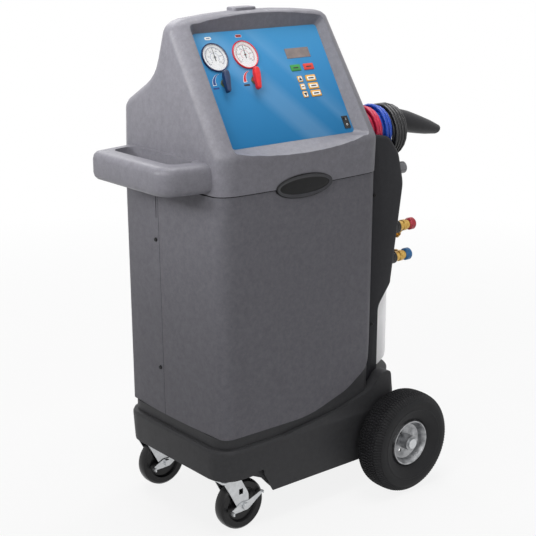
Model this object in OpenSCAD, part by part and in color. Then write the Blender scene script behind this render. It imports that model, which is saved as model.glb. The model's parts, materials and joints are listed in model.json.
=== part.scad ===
// Refrigerant recovery machine on a cart: moulded cabinet, sloped control panel, handle and casters
// on the -X side, pneumatic wheels, hose hook, couplers and tank on the +X side.
// Front is -Y, up is +Z, and the origin is on the floor under the middle of the machine.

/* [Cabinet] */
// Middle of the cabinet along X
body_x = -92; // [-96:1:-88]
// Width of the cabinet at the hood seam
body_w = 480; // [470:1:490]
// Depth of the cabinet at the hood seam
body_d = 390; // [384:1:400]
// Width of the covers at their foot
foot_w = 462; // [454:1:470]
// Depth of the covers at their foot
foot_d = 386; // [382:1:388]
// Height of the covers' foot above the floor
cover_foot_z = 246; // [244:1:250]
// Height of the seam between covers and hood
seam_z = 821; // [813:1:829]
// Gap at the seams between mouldings
seam_gap = 0.8; // [0.6:0.1:1]
// Place of the upright seam between the covers
split_y = 35; // [25:1:45]
// Wall of the moulded covers and hood
wall = 4; // [3:0.5:5]
// Corner rounding of the cabinet along X
corner_rx = 42; // [36:1:48]
// Corner rounding of the cabinet along Y
corner_ry = 30; // [26:1:32]
// Corner rounding of the covers' foot along X
foot_rx = 26; // [22:1:32]
// Corner rounding of the covers' foot along Y
foot_ry = 20; // [16:1:24]
// Outward bow of the handle side
side_bow = 8; // [4:1:9]
// Outward bow of the front at the hood seam
front_bow = 10; // [4:1:12]
// Outward bow of the front at the foot
foot_bow = 2; // [1:1:4]

/* [Hood] */
// Height of the hood above the seam
hood_h = 382; // [374:1:390]
// Height above the seam where the front starts to lean back
bend_rise = 86; // [80:1:94]
// How far the bend stands in front of the seam
bend_out = 7; // [3:1:10]
// Lean of the control panel from upright
panel_tilt = 31; // [30:0.5:32]
// Width of the flat land on top of the hood
top_land = 52; // [50:1:60]
// Height of the shoulder at the back of the hood above the seam
shoulder_rise = 179; // [170:1:188]
// How much narrower the hood is at its top, on each side
hood_taper = 11; // [5:1:15]
// Drop of the hood's top towards its sides
hood_crown = 16; // [8:1:20]
// Depth of the panel recess
recess_d = 26; // [22:1:28]

/* [Handle] */
// Reach of the handle from the cabinet's side
handle_reach = 118; // [110:1:125]
// Height of the handle's underside above the seam
handle_lift = 4; // [3:1:12]
// Height of the handle's section
handle_h = 68; // [60:1:74]
// Thickness of the handle's bar
bar_t = 42; // [36:1:46]
// Half the outer length of the handle's bar
handle_half = 143; // [135:1:150]

/* [Control panel] */
// Width of the panel plate
panel_w = 368; // [360:1:372]
// Length of the panel plate up the slope
panel_l = 281; // [276:1:284]
// Thickness of the panel plate
panel_t = 3; // [2.5:0.5:4]
// Place of the panel's middle, up the slope from the bend
panel_up = 168; // [166:1:172]
// Diameter of the gauges' rings
gauge_d = 70; // [66:1:72]
// Travel of a key
key_travel = 0.6; // [0.4:0.1:0.8]

/* [Base] */
// Lower end of the base on the handle side
base_x0 = -341; // [-346:1:-340]
// Lower end of the base on the wheel side
base_x1 = 230; // [226:1:240]
// Half the width of the base
base_hw = 203; // [202:1:204]
// Height of the skirt on the handle side
skirt_z = 141; // [140:1:143]
// Height of the deeper skirt on the wheel side
belly_z = 84; // [76:1:92]
// Height of the ridge around the base
ridge_z = 217; // [212:1:220]

/* [Wheels] */
// Radius of the pneumatic tyres
tyre_r = 130; // [126:1:134]
// Width of the pneumatic tyres
tyre_w = 84; // [76:1:88]
// Half the track of the wheels
track_half = 251; // [249:1:256]
// Place of the wheel axle along X
axle_x = 196; // [190:1:200]
// Radius of the wheel axle
axle_r = 8; // [7:0.5:9]
// Radius of the caster wheels
caster_r = 63.5; // [62:0.5:63.5]
// Width of the caster wheels
caster_w = 32; // [28:1:34]
// Place of the caster swivels along X
swivel_x = -295; // [-300:1:-290]
// Half the track of the casters
caster_half = 160; // [154:1:162]
// Trail of the caster wheels
caster_trail = 35; // [32:1:38]

/* [Tank and hoses] */
// Radius of the recovery tank
tank_r = 120; // [114:1:120]
// Height of the tank's body
tank_h = 330; // [310:1:336]
// Place of the tank's axis along X
tank_x = 208; // [205:1:210]
// Diameter of the service hoses
hose_d = 10; // [9:0.5:10]
// Diameter of the mains lead
lead_d = 9; // [8:0.5:9]

/* [Hidden] */
$fn = 48;

// Clearances
fit = 0.3;
running = 0.05;
overcut = 20;
far = 1000;

// Cabinet
body_hw = body_w / 2;
body_hd = body_d / 2;
cover_h = seam_z - cover_foot_z;
cover_lift = 0.4;
collar_t = 3.5;
deck_z = cover_foot_z - cover_lift;
deck_t = 6;
side_x = body_x - body_hw;

// Hood profile
hood_top_z = seam_z + hood_h;
bend_z = seam_z + bend_rise;
shoulder_z = seam_z + shoulder_rise;
handle_z = seam_z + handle_lift;
bend = [-body_hd - bend_out, bend_z];
crest = [bend[0] + (hood_top_z - bend_z) * tan(panel_tilt), hood_top_z];
nape = [62, seam_z + 254];
shoulder = [body_hd - 5, shoulder_z];
skirt_drop = 60;

// Panel layout, from the panel's middle, right and up the slope
gauge_v = 79;
low_u = -144;
high_u = -57;
lever_v = 15;
small_key = [14, 15];
wide_key = [30, 15.6];
key_rows = [6, -14, -33];
start_v = 35;
start_u = 76;
stop_u = 116;
small_u = 77;
wide_u = 110;
display_at = [98, 72];
display_size = [72, 25];
rocker_at = [168, -114];
rocker_size = [15, 28];
rocker_tip = 8;
panel_ledge = 8;
key_proud = key_travel + 0.8;
gauge_r = gauge_d / 2;
gauge_body_r = gauge_r - 5.5;
bezel_h = 4.4;
bezel_w = 2.6;
dial_n = 0.8;
needle_n = 1.6;
lens_n = 3;
lens_t = 1;
stem_r = 4.5;
stem_h = 16;
nut_r = 9;
nut_h = 4.2;

// Wheel-side shell
shell_share = 0.88;
shell_gap = 2;
shell_foot_z = deck_z + fit;
shell_wall = 5;
bay_floor_z = seam_z - 69;
bay_half = 118;
alcove_gap = 9;
alcove_top_z = 722;
alcove_r = tank_r + alcove_gap;
tank_seat_z = deck_z + 10;
tank_foot_z = tank_seat_z + fit;
opening_half = alcove_r + 8;

// Hose hook and coils
hook_y = -95;
coil_z = seam_z + 78;
coil_r_in = 44.7;
lead_coil_r_in = 50;
lead_coil_z = coil_z + coil_r_in - lead_coil_r_in;
coil_room = lead_coil_r_in + 2 * lead_d + 3;
hook_root_x = body_x + body_hw + fit;
hook_tip_x = 450;
coil_gap = 3;
red_x = 165;
turns_across = 3;
lead_turns_across = 5;
blue_x = red_x + turns_across * hose_d + coil_gap;
black_x = blue_x + turns_across * hose_d + coil_gap;

// Couplers
coupler_inset = 31.6;
coupler_y = coupler_inset - shell_share * body_hd;
high_coupler_z = 653;
low_coupler_z = 575;
post_len = 16;
post_r = 8;
socket_len = 15;
coupler_len = 48;
spindle_len = 11;
knob_len = 19;
knob_r = 15.5;
peg_z = seam_z - 18;
peg_r = 15;
peg_len = 28;
peg_root = 8;

// Wheels and casters
axle_z = tyre_r;
rim_r = 60;
wheel_x = swivel_x + caster_trail;
plate_t = 4;
race_h = 3.7;
pad_z = skirt_z + 4;
race_z = pad_z - fit - plate_t;
fork_t = 3;
fork_gap = 3;
fork_top_z = race_z - race_h - fit;
caster_axle_r = 5;
leg_y = caster_w / 2 + fork_gap;

// Cord routes: each list holds the bends of one free stretch, by hand
gland_z = bay_floor_z + fit;
start_y = -45;
red_start = [[175, start_y, 784], [175, start_y, 810], [175, start_y, 835], [175, start_y, 862]];
red_end = [
    [178, -134, 855], [180, -120, 841], [184, -100, 820], [200, -80, 800], [230, -71, 791], [265, -69, 789],
    [300, -65, 786], [326, -54, 765], [340, -38, 725], [344, -22, 675], [344, -12, 625], [340, -14, 588],
    [331, -34, 566], [316, -62, 566], [300, -84, 584], [293, -98, 603], [292, -114, 622]
];
blue_start = [[207, start_y, 784], [207, start_y, 810], [207, start_y, 835], [207, start_y, 862]];
blue_end = [
    [210, -134, 855], [211, -120, 841], [214, -104, 818], [226, -96, 795], [250, -92, 781], [285, -88, 775],
    [318, -79, 762], [341, -62, 728], [352, -42, 682], [358, -26, 632], [360, -17, 600], [357, -20, 572],
    [349, -36, 553], [337, -58, 548], [322, -81, 557], [308, -100, 571], [294, -114, 575]
];
black_start = [[240, start_y, 784], [240, -44, 808], [238, -42, 834], [236, -41, 858]];
black_end = [
    [240, -114, 831], [243, -94, 823], [252, -67, 818], [272, -35, 813], [300, 0, 805], [326, 30, 783],
    [342, 50, 748], [350, 60, 708], [352, 63, 680], [352, 64, 656]
];
plug_at = [352, 64, 656];

// Outlines and skins

function unit(v) = v / norm(v);
function left_of(v) = [-v[1], v[0]];
function cross2(a, b) = a[0] * b[1] - a[1] * b[0];
function turned(v, a) = [v[0] * cos(a) - v[1] * sin(a), v[0] * sin(a) + v[1] * cos(a)];
function mix(a, b, t) = a + (b - a) * t;

// One rounded corner at p, where the direction changes from e0 to e1
function corner_arc(p, e0, e1, r, n) =
    let (turn = atan2(cross2(e0, e1), e0 * e1))
    let (side = sign(turn))
    let (start = p - e0 * r * tan(abs(turn) / 2))
    let (spoke = -left_of(e0) * r * side)
    [for (k = [0:n]) start - spoke + turned(spoke, turn * k / n)];

// Points of a rounded outline: corners are [x, y, radius] anticlockwise, moved inside by d
function outline(corners, d = 0, n = 4) =
    let (m = len(corners))
    [for (i = [0:m - 1])
        let (a = corners[(i + m - 1) % m])
        let (b = corners[i])
        let (c = corners[(i + 1) % m])
        let (e0 = unit([b[0] - a[0], b[1] - a[1]]))
        let (e1 = unit([c[0] - b[0], c[1] - b[1]]))
        let (n0 = left_of(e0))
        let (n1 = left_of(e1))
        let (p = [b[0], b[1]] + (n0 + n1) * d / (1 + n0 * n1))
        let (r = cross2(e0, e1) > 0 ? max(b[2] - d, 0.4) : b[2] + d)
        each corner_arc(p, e0, e1, r, n)];

// Points of a rectangle with elliptic corners, n steps in each corner and m points on each side
function soft_rect(hx, hy, rx, ry, n = 5, m = 5) =
    let (s = [[1, 1], [-1, 1], [-1, -1], [1, -1]])
    [for (q = [0:3])
        let (c = [s[q][0] * (hx - rx), s[q][1] * (hy - ry)])
        let (arc = [for (k = [0:n]) c + [rx * cos(90 * (q + k / n)), ry * sin(90 * (q + k / n))]])
        let (d = s[(q + 1) % 4])
        let (e = [d[0] * (hx - rx) + rx * cos(90 * (q + 1)), d[1] * (hy - ry) + ry * sin(90 * (q + 1))])
        each concat(arc, [for (k = [1:m]) mix(arc[n], e, k / (m + 1))])];

// Inset and height of the rings that round both ends of a prism
function end_rings(h, r0, r1, m) = concat(
    r0 > 0 ? [for (k = [0:m]) [r0 * (1 - sin(90 * k / m)), r0 * (1 - cos(90 * k / m))]] : [[0, 0]],
    r1 > 0 ? [for (k = [0:m]) [r1 * (1 - cos(90 * k / m)), h - r1 * (1 - sin(90 * k / m))]] : [[0, h]]
);

// Closed solid over rings of points that run anticlockwise about the stacking direction
module skin(rings) {
    n = len(rings[0]);
    m = len(rings);
    hubs = [for (r = [rings[0], rings[m - 1]]) [for (p = r) 1] * r / n];
    sides = [for (j = [0:m - 2], i = [0:n - 1])
        let (a = j * n + i)
        let (b = j * n + (i + 1) % n)
        each [[a, a + n, b + n], [a, b + n, b]]];
    foot = [for (i = [0:n - 1]) [i, (i + 1) % n, m * n]];
    head = [for (i = [0:n - 1]) [(m - 1) * n + (i + 1) % n, (m - 1) * n + i, m * n + 1]];
    polyhedron(concat([for (r = rings) each r], hubs), concat(sides, foot, head));
}

// Prism over a rounded outline, with its two ends rounded
module rounded_prism(corners, h, r0, r1, m = 3, n = 4) {
    skin([for (s = end_rings(h, r0, r1, m)) [for (p = outline(corners, s[0], n)) [p[0], p[1], s[1]]]]);
}

// A solid drawn in X and Z, standing from y to y + depth
module upright(y, depth) {
    translate([0, y + depth, 0]) rotate([90, 0, 0]) children();
}

// A solid of revolution about Y, its profile drawn as [radius, distance towards -Y]
module about_y(at) {
    translate(at) rotate([90, 0, 0]) rotate_extrude($fn = 96) children();
}

// A solid of revolution about X, its profile drawn as [radius, distance towards +X]
module about_x(at) {
    translate(at) rotate([0, 90, 0]) rotate_extrude() children();
}

// A block between two corners
module block(lo, hi) {
    translate(lo) cube(hi - lo);
}

// Cabinet

// Outline of the covers at a height, moved inside by d
function cover_ring(z, d) =
    let (t = (z - cover_foot_z) / cover_h)
    let (hx = mix(foot_w, body_w, t) / 2 - d)
    let (hy = mix(foot_d, body_d, t) / 2 - d)
    let (bow = mix(foot_bow, front_bow, t))
    [for (p = soft_rect(hx, hy, mix(foot_rx, corner_rx, t) - d, mix(foot_ry, corner_ry, t) - d))
        [body_x + p[0] - (p[0] < 0 ? side_bow * (1 - pow(p[1] / hy, 2)) : 0),
         p[1] - (p[1] < 0 ? bow * (1 - pow(p[0] / hx, 2)) : 0),
         z]];

// The covers' loft, moved inside by d, with its top edge broken by a chamfer
cover_steps = 5;
module cover_solid(d, z0, z1, chamfer = 0) {
    skin(concat(
        [for (k = [0:cover_steps]) cover_ring(mix(z0, z1 - chamfer, k / cover_steps), d)],
        chamfer > 0 ? [cover_ring(z1, d + chamfer)] : []
    ));
}

// The swept lower edge of the covers, rising towards the wheels
sweep_rise = 230;
sweep_x0 = -70;
edge_chamfer = 1.6;
function sweep_line(lift) =
    let (right = body_x + foot_w / 2)
    let (foot = cover_foot_z + lift)
    [[-far, 0, 1], [far, 0, 1], [far, foot + sweep_rise, 1], [right + 10, foot + sweep_rise, 1],
     [right - 13, foot + 84, 60], [right - 84, foot + 38, 150], [sweep_x0, foot, 300], [-far, foot, 1]];

module cover_shell() {
    difference() {
        cover_solid(0, cover_foot_z, seam_z - seam_gap / 2, edge_chamfer);
        cover_solid(wall, cover_foot_z - overcut, seam_z + overcut);
        upright(-far, 2 * far) linear_extrude(2 * far) polygon(outline(sweep_line(0)));
        block([body_x, -opening_half, 0], [far, opening_half, alcove_top_z + overcut]);
    }
}

// Screws that hold the covers at the upright seam
screw_r = 2.5;
screw_head_r = 5;
screw_head_h = 3;
screw_seat = 0.5;
screw_zs = [364, 682];
screw_y = split_y + 12;
groove_w = 7;
groove_l = 86;
groove_deep = 2;
function side_face_x(z, y) =
    let (t = (z - cover_foot_z) / cover_h)
    let (hy = mix(foot_d, body_d, t) / 2)
    body_x - mix(foot_w, body_w, t) / 2 - side_bow * (1 - pow(y / hy, 2));

module front_cover() {
    color("dimgray") difference() {
        cover_shell();
        block([-far, split_y - seam_gap / 2, 0], [far, far, far]);
    }
}

module rear_cover() {
    color("dimgray") difference() {
        cover_shell();
        block([-far, -far, 0], [far, split_y + seam_gap / 2, far]);
        for (z = screw_zs)
            translate([side_x - overcut, screw_y, z]) rotate([0, 90, 0])
                cylinder(r = screw_r + fit, h = 3 * overcut);
        block([-far, split_y + 3, seam_z - groove_l],
            [side_face_x(seam_z - groove_l / 2, split_y) + groove_deep, split_y + 3 + groove_w, seam_z - 6]);
    }
}

module cover_screws() {
    color("black") for (z = screw_zs)
        translate([side_face_x(z, screw_y) - screw_seat, screw_y, z]) rotate([0, 90, 0]) union() {
            translate([0, 0, -screw_head_h])
                cylinder(r1 = screw_head_r - 1, r2 = screw_head_r, h = screw_head_h);
            translate([0, 0, -0.5]) cylinder(r = screw_r, h = 14);
        }
}

// Hood

hood_profile = [
    [-body_hd, seam_z - skirt_drop, 2], [body_hd, seam_z - skirt_drop, 2], [shoulder[0], shoulder[1], 34],
    [nape[0], nape[1], 110], [crest[0] + top_land, crest[1], 30], [crest[0], crest[1], 22],
    [bend[0], bend[1], 40]
];

// Bows, tapers and crowns a point of the hood's straight loft
function hood_point(x, p, hw) =
    let (s = x / hw)
    let (rise = max(0, (p[1] - bend_z) / (hood_top_z - bend_z)))
    let (flank = max(0, 1 - pow(p[0] / body_hd, 2)))
    [body_x + x - hood_taper * s * rise + (x < 0 ? side_bow * s * flank : 0),
     p[0] - front_bow * (1 - s * s) * max(0, -p[0] / body_hd),
     p[1] - hood_crown * s * s * rise];

// The hood's loft, moved inside by d, with n steps in each corner
module hood_solid(d, n, m) {
    hw = body_hw - d;
    rx = corner_rx - d;
    ry = corner_ry - d;
    ends = end_rings(2 * hw, rx, rx, m);
    mids = [for (k = [1:5]) [0, mix(rx, 2 * hw - rx, k / 6)]];
    stations = concat([for (k = [0:m]) ends[k]], mids, [for (k = [m + 1:2 * m + 1]) ends[k]]);
    skin([for (s = stations)
        [for (p = outline(hood_profile, d + s[0] * ry / rx, n)) hood_point(s[1] - hw, p, hw)]]);
}

// Panel frame: X to the right, Y up the slope, Z out of the panel's face
module on_panel(u = 0, v = 0, n = 0) {
    translate([body_x, bend[0], bend[1]]) rotate([90 - panel_tilt, 0, 0])
        translate([u, panel_up + v, n - recess_d]) children();
}

// The recess around the panel, flaring to an arched lip, grown by g
flare_side = 18;
flare_top = 27;
flare_foot = 36;
arch_top = 12;
arch_foot = 19;
recess_over = 14;
module recess_solid(g, floor_n) {
    out = (recess_d + recess_over) / recess_d;
    hx = panel_w / 2 + fit + g;
    hy = panel_l / 2 + fit + g;
    inner = soft_rect(hx, hy, 10, 10, 4, 7);
    function flared(p) =
        let (s = p[0] / hx)
        let (up = p[1] > 0 ? flare_top - arch_top * s * s : flare_foot - arch_foot * s * s)
        [p[0] + flare_side * s * out, p[1] + up * out * p[1] / hy, recess_d + recess_over];
    skin([
        [for (p = inner) [p[0], p[1], floor_n]],
        [for (p = inner) [p[0], p[1], 0]],
        [for (p = inner) flared(p)]
    ]);
}

// Handle loop, drawn from above
function handle_outline() = [
    [side_x + corner_rx, -handle_half - 30, 2], [side_x + corner_rx, handle_half + 30, 2],
    [side_x - handle_reach, handle_half, 24], [side_x - handle_reach, -handle_half, 46]
];
finger_x1 = side_x - side_bow - 4;
finger_x0 = side_x - handle_reach + bar_t;
finger_half = handle_half - 24;

module finger_gap() {
    corners = [
        [finger_x1, -finger_half - 8, 18], [finger_x1, finger_half + 8, 18],
        [finger_x0, finger_half - 4, 24], [finger_x0, -finger_half + 4, 24]
    ];
    translate([0, 0, handle_z - overcut]) linear_extrude(handle_h + 2 * overcut) polygon(outline(corners));
}

// Raised pad on the hood's top land
pad = [66, 36, 6];
pad_x = body_x - 24;
module hood_pad() {
    x = pad[0] / 2;
    y = pad[1] / 2;
    translate([pad_x, crest[0] + top_land / 2, hood_top_z - wall / 2])
        rounded_prism([[x, -y, 9], [x, y, 9], [-x, y, 9], [-x, -y, 9]], pad[2] + wall / 2, 0, 3, 2, 3);
}

module hood_outer() {
    hood_solid(0, 4, 4);
    hood_pad();
    difference() {
        translate([0, 0, handle_z]) rounded_prism(handle_outline(), handle_h, 18, 18, 3, 5);
        finger_gap();
    }
}

module top_hood() {
    color("dimgray") difference() {
        union() {
            difference() {
                hood_outer();
                hood_solid(wall, 2, 2);
            }
            intersection() {
                hood_solid(0.5, 2, 2);
                on_panel() recess_solid(wall, -panel_t - wall);
            }
        }
        on_panel() recess_solid(0, -panel_t - running);
        on_panel() block([-panel_w / 2 + panel_ledge, -panel_l / 2 + panel_ledge, -panel_t - wall - 2],
            [panel_w / 2 - panel_ledge, panel_l / 2 - panel_ledge, 0]);
        block([-far, -far, 0], [far, far, seam_z + seam_gap / 2]);
    }
}

// Control panel

module key_hole(at, size) {
    translate([at[0], at[1], -panel_t / 2])
        cube([size[0] + 2 * fit, size[1] + 2 * fit, 3 * panel_t], center = true);
}

module control_panel() {
    color("steelblue") on_panel() difference() {
        translate([0, 0, -panel_t]) linear_extrude(panel_t)
            polygon(outline([[panel_w / 2, -panel_l / 2, 9], [panel_w / 2, panel_l / 2, 9],
                [-panel_w / 2, panel_l / 2, 9], [-panel_w / 2, -panel_l / 2, 9]]));
        for (u = [low_u, high_u]) {
            translate([u, gauge_v, -overcut]) cylinder(r = gauge_body_r + fit, h = 2 * overcut);
            translate([u, lever_v, -overcut]) cylinder(r = stem_r + fit, h = 2 * overcut);
        }
        for (u = [start_u, stop_u]) key_hole([u, start_v], wide_key);
        for (v = key_rows) {
            key_hole([small_u, v], small_key);
            key_hole([wide_u, v], wide_key);
        }
        key_hole(display_at, display_size);
        key_hole(rocker_at, rocker_size);
    }
}

// A gauge case: body through the panel, ring in front, dial face inside
module gauge_case(u) {
    on_panel(u, gauge_v) rotate_extrude() polygon([
        [0, -28], [gauge_body_r, -28], [gauge_body_r, fit], [gauge_r, fit], [gauge_r, bezel_h - 1],
        [gauge_r - 0.8, bezel_h], [gauge_r - 1.8, bezel_h], [gauge_r - bezel_w, lens_n + lens_t],
        [gauge_r - bezel_w, dial_n], [0, dial_n]
    ]);
    on_panel(u, gauge_v, dial_n - 0.5) cylinder(r = 1.2, h = needle_n - dial_n + 1);
}

module low_gauge_case() {
    color("midnightblue") gauge_case(low_u);
}

module high_gauge_case() {
    color("firebrick") gauge_case(high_u);
}

module gauge_needle(u) {
    on_panel(u, gauge_v, needle_n) difference() {
        union() {
            cylinder(r = 3, h = 1);
            linear_extrude(0.6) polygon([[-1.3, -9], [1.3, -9], [0.4, gauge_r - 11], [-0.4, gauge_r - 11]]);
        }
        translate([0, 0, -1]) cylinder(r = 1.2 + running, h = 3);
    }
}

module low_gauge_needle() {
    color("black") gauge_needle(low_u);
}

module high_gauge_needle() {
    color("black") gauge_needle(high_u);
}

module clear_windows() {
    color("lightgray", 0.5) {
        for (u = [low_u, high_u]) on_panel(u, gauge_v, lens_n)
            cylinder(r = gauge_r - bezel_w - running, h = lens_t);
        on_panel(display_at[0], display_at[1], -panel_t) union() {
            translate([0, 0, -1]) linear_extrude(panel_t + 1.6) square(display_size, center = true);
            translate([0, 0, -2]) linear_extrude(2 - running) square(display_size + [8, 8], center = true);
        }
    }
}

// Manifold block behind the panel with the two valve stems
module valve_manifold() {
    color("goldenrod") {
        on_panel((low_u + high_u) / 2, lever_v, -panel_t - 26)
            linear_extrude(26 - running) square([high_u - low_u + 34, 30], center = true);
        for (u = [low_u, high_u]) on_panel(u, lever_v, -panel_t - 1) {
            cylinder(r = stem_r, h = stem_h + panel_t + 1);
            translate([0, 0, panel_t + 1 + fit]) cylinder(r = nut_r, h = nut_h, $fn = 6);
        }
    }
}

// Bar lever on a valve stem
lever_l = 54;
lever_w = 17;
lever_end_w = 11;
lever_n = 9;
lever_h = 11;
lever_tilt = -13;
lever_outline = [
    [lever_end_w / 2, -lever_l / 2, 5], [lever_w / 2, lever_l / 5, 14], [lever_w / 2 - 2, lever_l / 2, 6],
    [2 - lever_w / 2, lever_l / 2, 6], [-lever_w / 2, lever_l / 5, 14], [-lever_end_w / 2, -lever_l / 2, 5]
];
module valve_lever(u) {
    on_panel(u, lever_v, lever_n) rotate([0, 0, lever_tilt]) difference() {
        union() {
            rounded_prism(lever_outline, lever_h, 1.5, 3, 2, 3);
            translate([0, 0, -4]) cylinder(r = 7, h = 6);
        }
        translate([0, 0, -overcut]) cylinder(r = stem_r + running, h = overcut + stem_h - lever_n + fit);
    }
}

module low_valve_lever() {
    color("midnightblue") valve_lever(low_u);
}

module high_valve_lever() {
    color("red") valve_lever(high_u);
}

// A key: cap in its hole, flange behind the panel with room to travel
key_root = fit + 0.5;
module panel_key(u, v, size) {
    on_panel(u, v) union() {
        translate([0, 0, -panel_t - key_root]) rounded_prism(
            [[size[0] / 2, -size[1] / 2, 2], [size[0] / 2, size[1] / 2, 2],
             [-size[0] / 2, size[1] / 2, 2], [-size[0] / 2, -size[1] / 2, 2]],
            panel_t + key_proud + key_root, 0, 0.6, 2, 2);
        translate([0, 0, -panel_t - fit - 1]) linear_extrude(1)
            square([size[0] + 3, size[1] + 1.6], center = true);
    }
}

module start_key() {
    color("green") panel_key(start_u, start_v, wide_key);
}

module stop_key() {
    color("red") panel_key(stop_u, start_v, wide_key);
}

module up_key() {
    color("gold") panel_key(small_u, key_rows[0], small_key);
}

module enter_key() {
    color("gold") panel_key(small_u, key_rows[1], small_key);
}

module down_key() {
    color("gold") panel_key(small_u, key_rows[2], small_key);
}

module upper_function_key() {
    color("gold") panel_key(wide_u, key_rows[0], wide_key);
}

module middle_function_key() {
    color("gold") panel_key(wide_u, key_rows[1], wide_key);
}

module lower_function_key() {
    color("gold") panel_key(wide_u, key_rows[2], wide_key);
}

// Switch body with its front frame, and pins for the rocker
bezel_t = 1.6;
bezel_rim = 1.5;
module switch_bezel() {
    w = rocker_size[0];
    l = rocker_size[1];
    color("black") on_panel(rocker_at[0], rocker_at[1]) {
        difference() {
            union() {
                translate([-w / 2, -l / 2, -18]) cube([w, l, 18 + running]);
                translate([-w / 2 - bezel_rim, -l / 2 - bezel_rim, running])
                    cube([w + 2 * bezel_rim, l + 2 * bezel_rim, bezel_t]);
            }
            translate([-w / 2 + 1.5, -l / 2 + 1.5, -12]) cube([w - 3, l - 3, overcut]);
        }
        translate([-w / 2 + 1, 0, -2]) rotate([0, 90, 0]) cylinder(r = 1.5, h = w - 2);
    }
}

module power_rocker() {
    w = rocker_size[0] - 3 - 2 * fit;
    l = rocker_size[1] - 3 - 4 * fit;
    half = l / 2;
    color("black") on_panel(rocker_at[0], rocker_at[1], -2) rotate([rocker_tip, 0, 0]) difference() {
        translate([-w / 2, 0, 0]) rotate([90, 0, 90]) linear_extrude(w) polygon([
            [-half, 3], [-4, -4], [4, -4], [half, 3], [half - 0.4, 5], [0, 3.6], [-half + 0.4, 5]
        ]);
        translate([-w, 0, 0]) rotate([0, 90, 0]) cylinder(r = 1.5 + running, h = 2 * w);
    }
}

// Circuit board on standoffs behind the keys
module circuit_board() {
    color("darkgreen") on_panel(92, 20) union() {
        translate([-70, -75, -panel_t - 16]) cube([140, 150, 1.6]);
        for (u = [-62, 62], v = [-68, 68])
            translate([u, v, -panel_t - 15]) cylinder(r = 3, h = 15 - running);
        for (v = [-50, -25, 0, 25])
            translate([-30, v, -panel_t - 26]) cube([60, 16, 10.5]);
    }
}

// Base

base_plan = [
    [base_x1, -base_hw, 40], [base_x1, base_hw, 40], [base_x0, base_hw, 60], [base_x0, -base_hw, 60]
];
skirt_draft = 8;
base_wall = 5;
neck_inset = 12;
step_x = -182;
step_slope = 30;
notch_r = 8;
fender_t = base_hw - shell_share * body_hd - fit;
fender_h = 86;

// Rings of the base, moved inside by d, from z0 to the deck at z1
module base_solid(d, z0, z1) {
    levels = [[z0, skirt_draft], [ridge_z - 9, 0], [ridge_z - 3, 0.6], [ridge_z + 1, 3], [ridge_z + 2.5, 7],
        [ridge_z + 3, neck_inset], [z1, neck_inset]];
    skin([for (s = levels) [for (p = outline(base_plan, s[1] + d, 5)) [p[0], p[1], s[0]]]]);
}

fender_profile = [
    [-150, ridge_z - 12, 4], [base_x1 - 4, ridge_z - 12, 4], [base_x1 - 22, ridge_z + 45, 24],
    [base_x1 - 31, ridge_z + fender_h, 15], [base_x1 - 64, ridge_z + fender_h, 24],
    [base_x1 - 94, ridge_z + 50, 70], [base_x1 - 200, ridge_z + 23, 240], [-150, ridge_z + 2, 4]
];
fender_inset = 1.2;

// A fender on one side: its profile, cut to the base's plan
module fender(side) {
    intersection() {
        upright(side < 0 ? -base_hw : base_hw - fender_t, fender_t)
            linear_extrude(fender_t) polygon(outline(fender_profile));
        linear_extrude(far) polygon(outline(base_plan, fender_inset, 5));
    }
}

// What the underside lacks on the caster side: the higher skirt, a notch and the slope to the belly
underside = [
    [-far, 0, 1], [step_x, 0, 1], [step_x, belly_z, 2], [step_x - step_slope, skirt_z - 5, 2],
    [step_x - step_slope, skirt_z + notch_r, notch_r - 1],
    [step_x - step_slope - 3 * notch_r, skirt_z + notch_r, notch_r - 1],
    [step_x - step_slope - 3 * notch_r, skirt_z, 1], [-far, skirt_z, 1]
];

module base_tray() {
    boss_r = axle_r + 9;
    color("black") difference() {
        union() {
            difference() {
                base_solid(0, belly_z, deck_z);
                base_solid(base_wall, belly_z - overcut, deck_z - deck_t);
            }
            intersection() {
                base_solid(1.5, belly_z, deck_z - 1);
                union() {
                    for (y = [-caster_half, caster_half]) translate([swivel_x, y, pad_z])
                        cylinder(r = plate_r + 10, h = far / 10);
                    for (s = [-1, 1]) translate([axle_x, s * (base_hw - 30) + 25, axle_z]) rotate([90, 0, 0])
                        cylinder(r = boss_r, h = 50);
                }
            }
            fender(-1);
            fender(1);
            difference() {
                translate([tank_x, 0, ridge_z]) cylinder(r = tank_r + 5, h = tank_seat_z - ridge_z, $fn = 96);
                translate([tank_x, 0, 0]) cylinder(r = tank_r + 1, h = tank_seat_z - deck_t, $fn = 96);
            }
            collar();
        }
        upright(-far, 2 * far) linear_extrude(2 * far) polygon(outline(underside));
        translate([axle_x, far / 2, axle_z]) rotate([90, 0, 0]) cylinder(r = axle_r + running, h = far);
    }
}

// Upstand that the covers slip over
module collar() {
    in = wall + fit;
    difference() {
        intersection() {
            cover_solid(in, deck_z - 2, cover_foot_z + sweep_rise + 30);
            upright(-far, 2 * far) linear_extrude(2 * far) polygon(outline(sweep_line(18)));
        }
        cover_solid(in + collar_t, deck_z - overcut, seam_z);
        block([body_x, -opening_half, 0], [far, opening_half, far]);
    }
}

// Wheel-side shell

shell_x0 = body_x + foot_w / 2 + shell_gap;
shell_x1 = body_x + body_hw + shell_gap;
shell_waist = [226, 530];
shell_chest = [260, seam_z - 49];
shell_top_z = seam_z + 85;
shell_profile = [
    [shell_x0, shell_foot_z, 1], [shell_waist[0] - 26, shell_foot_z, 2], [shell_waist[0], shell_waist[1], 40],
    [shell_chest[0], shell_chest[1], 70], [shell_chest[0] - 19, seam_z + 29, 60],
    [shell_chest[0] - 54, shell_top_z - 11, 40], [shell_x1, shell_top_z, 6], [shell_x1, seam_z, 1]
];
function shell_half(z) = shell_share * mix(foot_d, body_d, (z - cover_foot_z) / cover_h) / 2;

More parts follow.
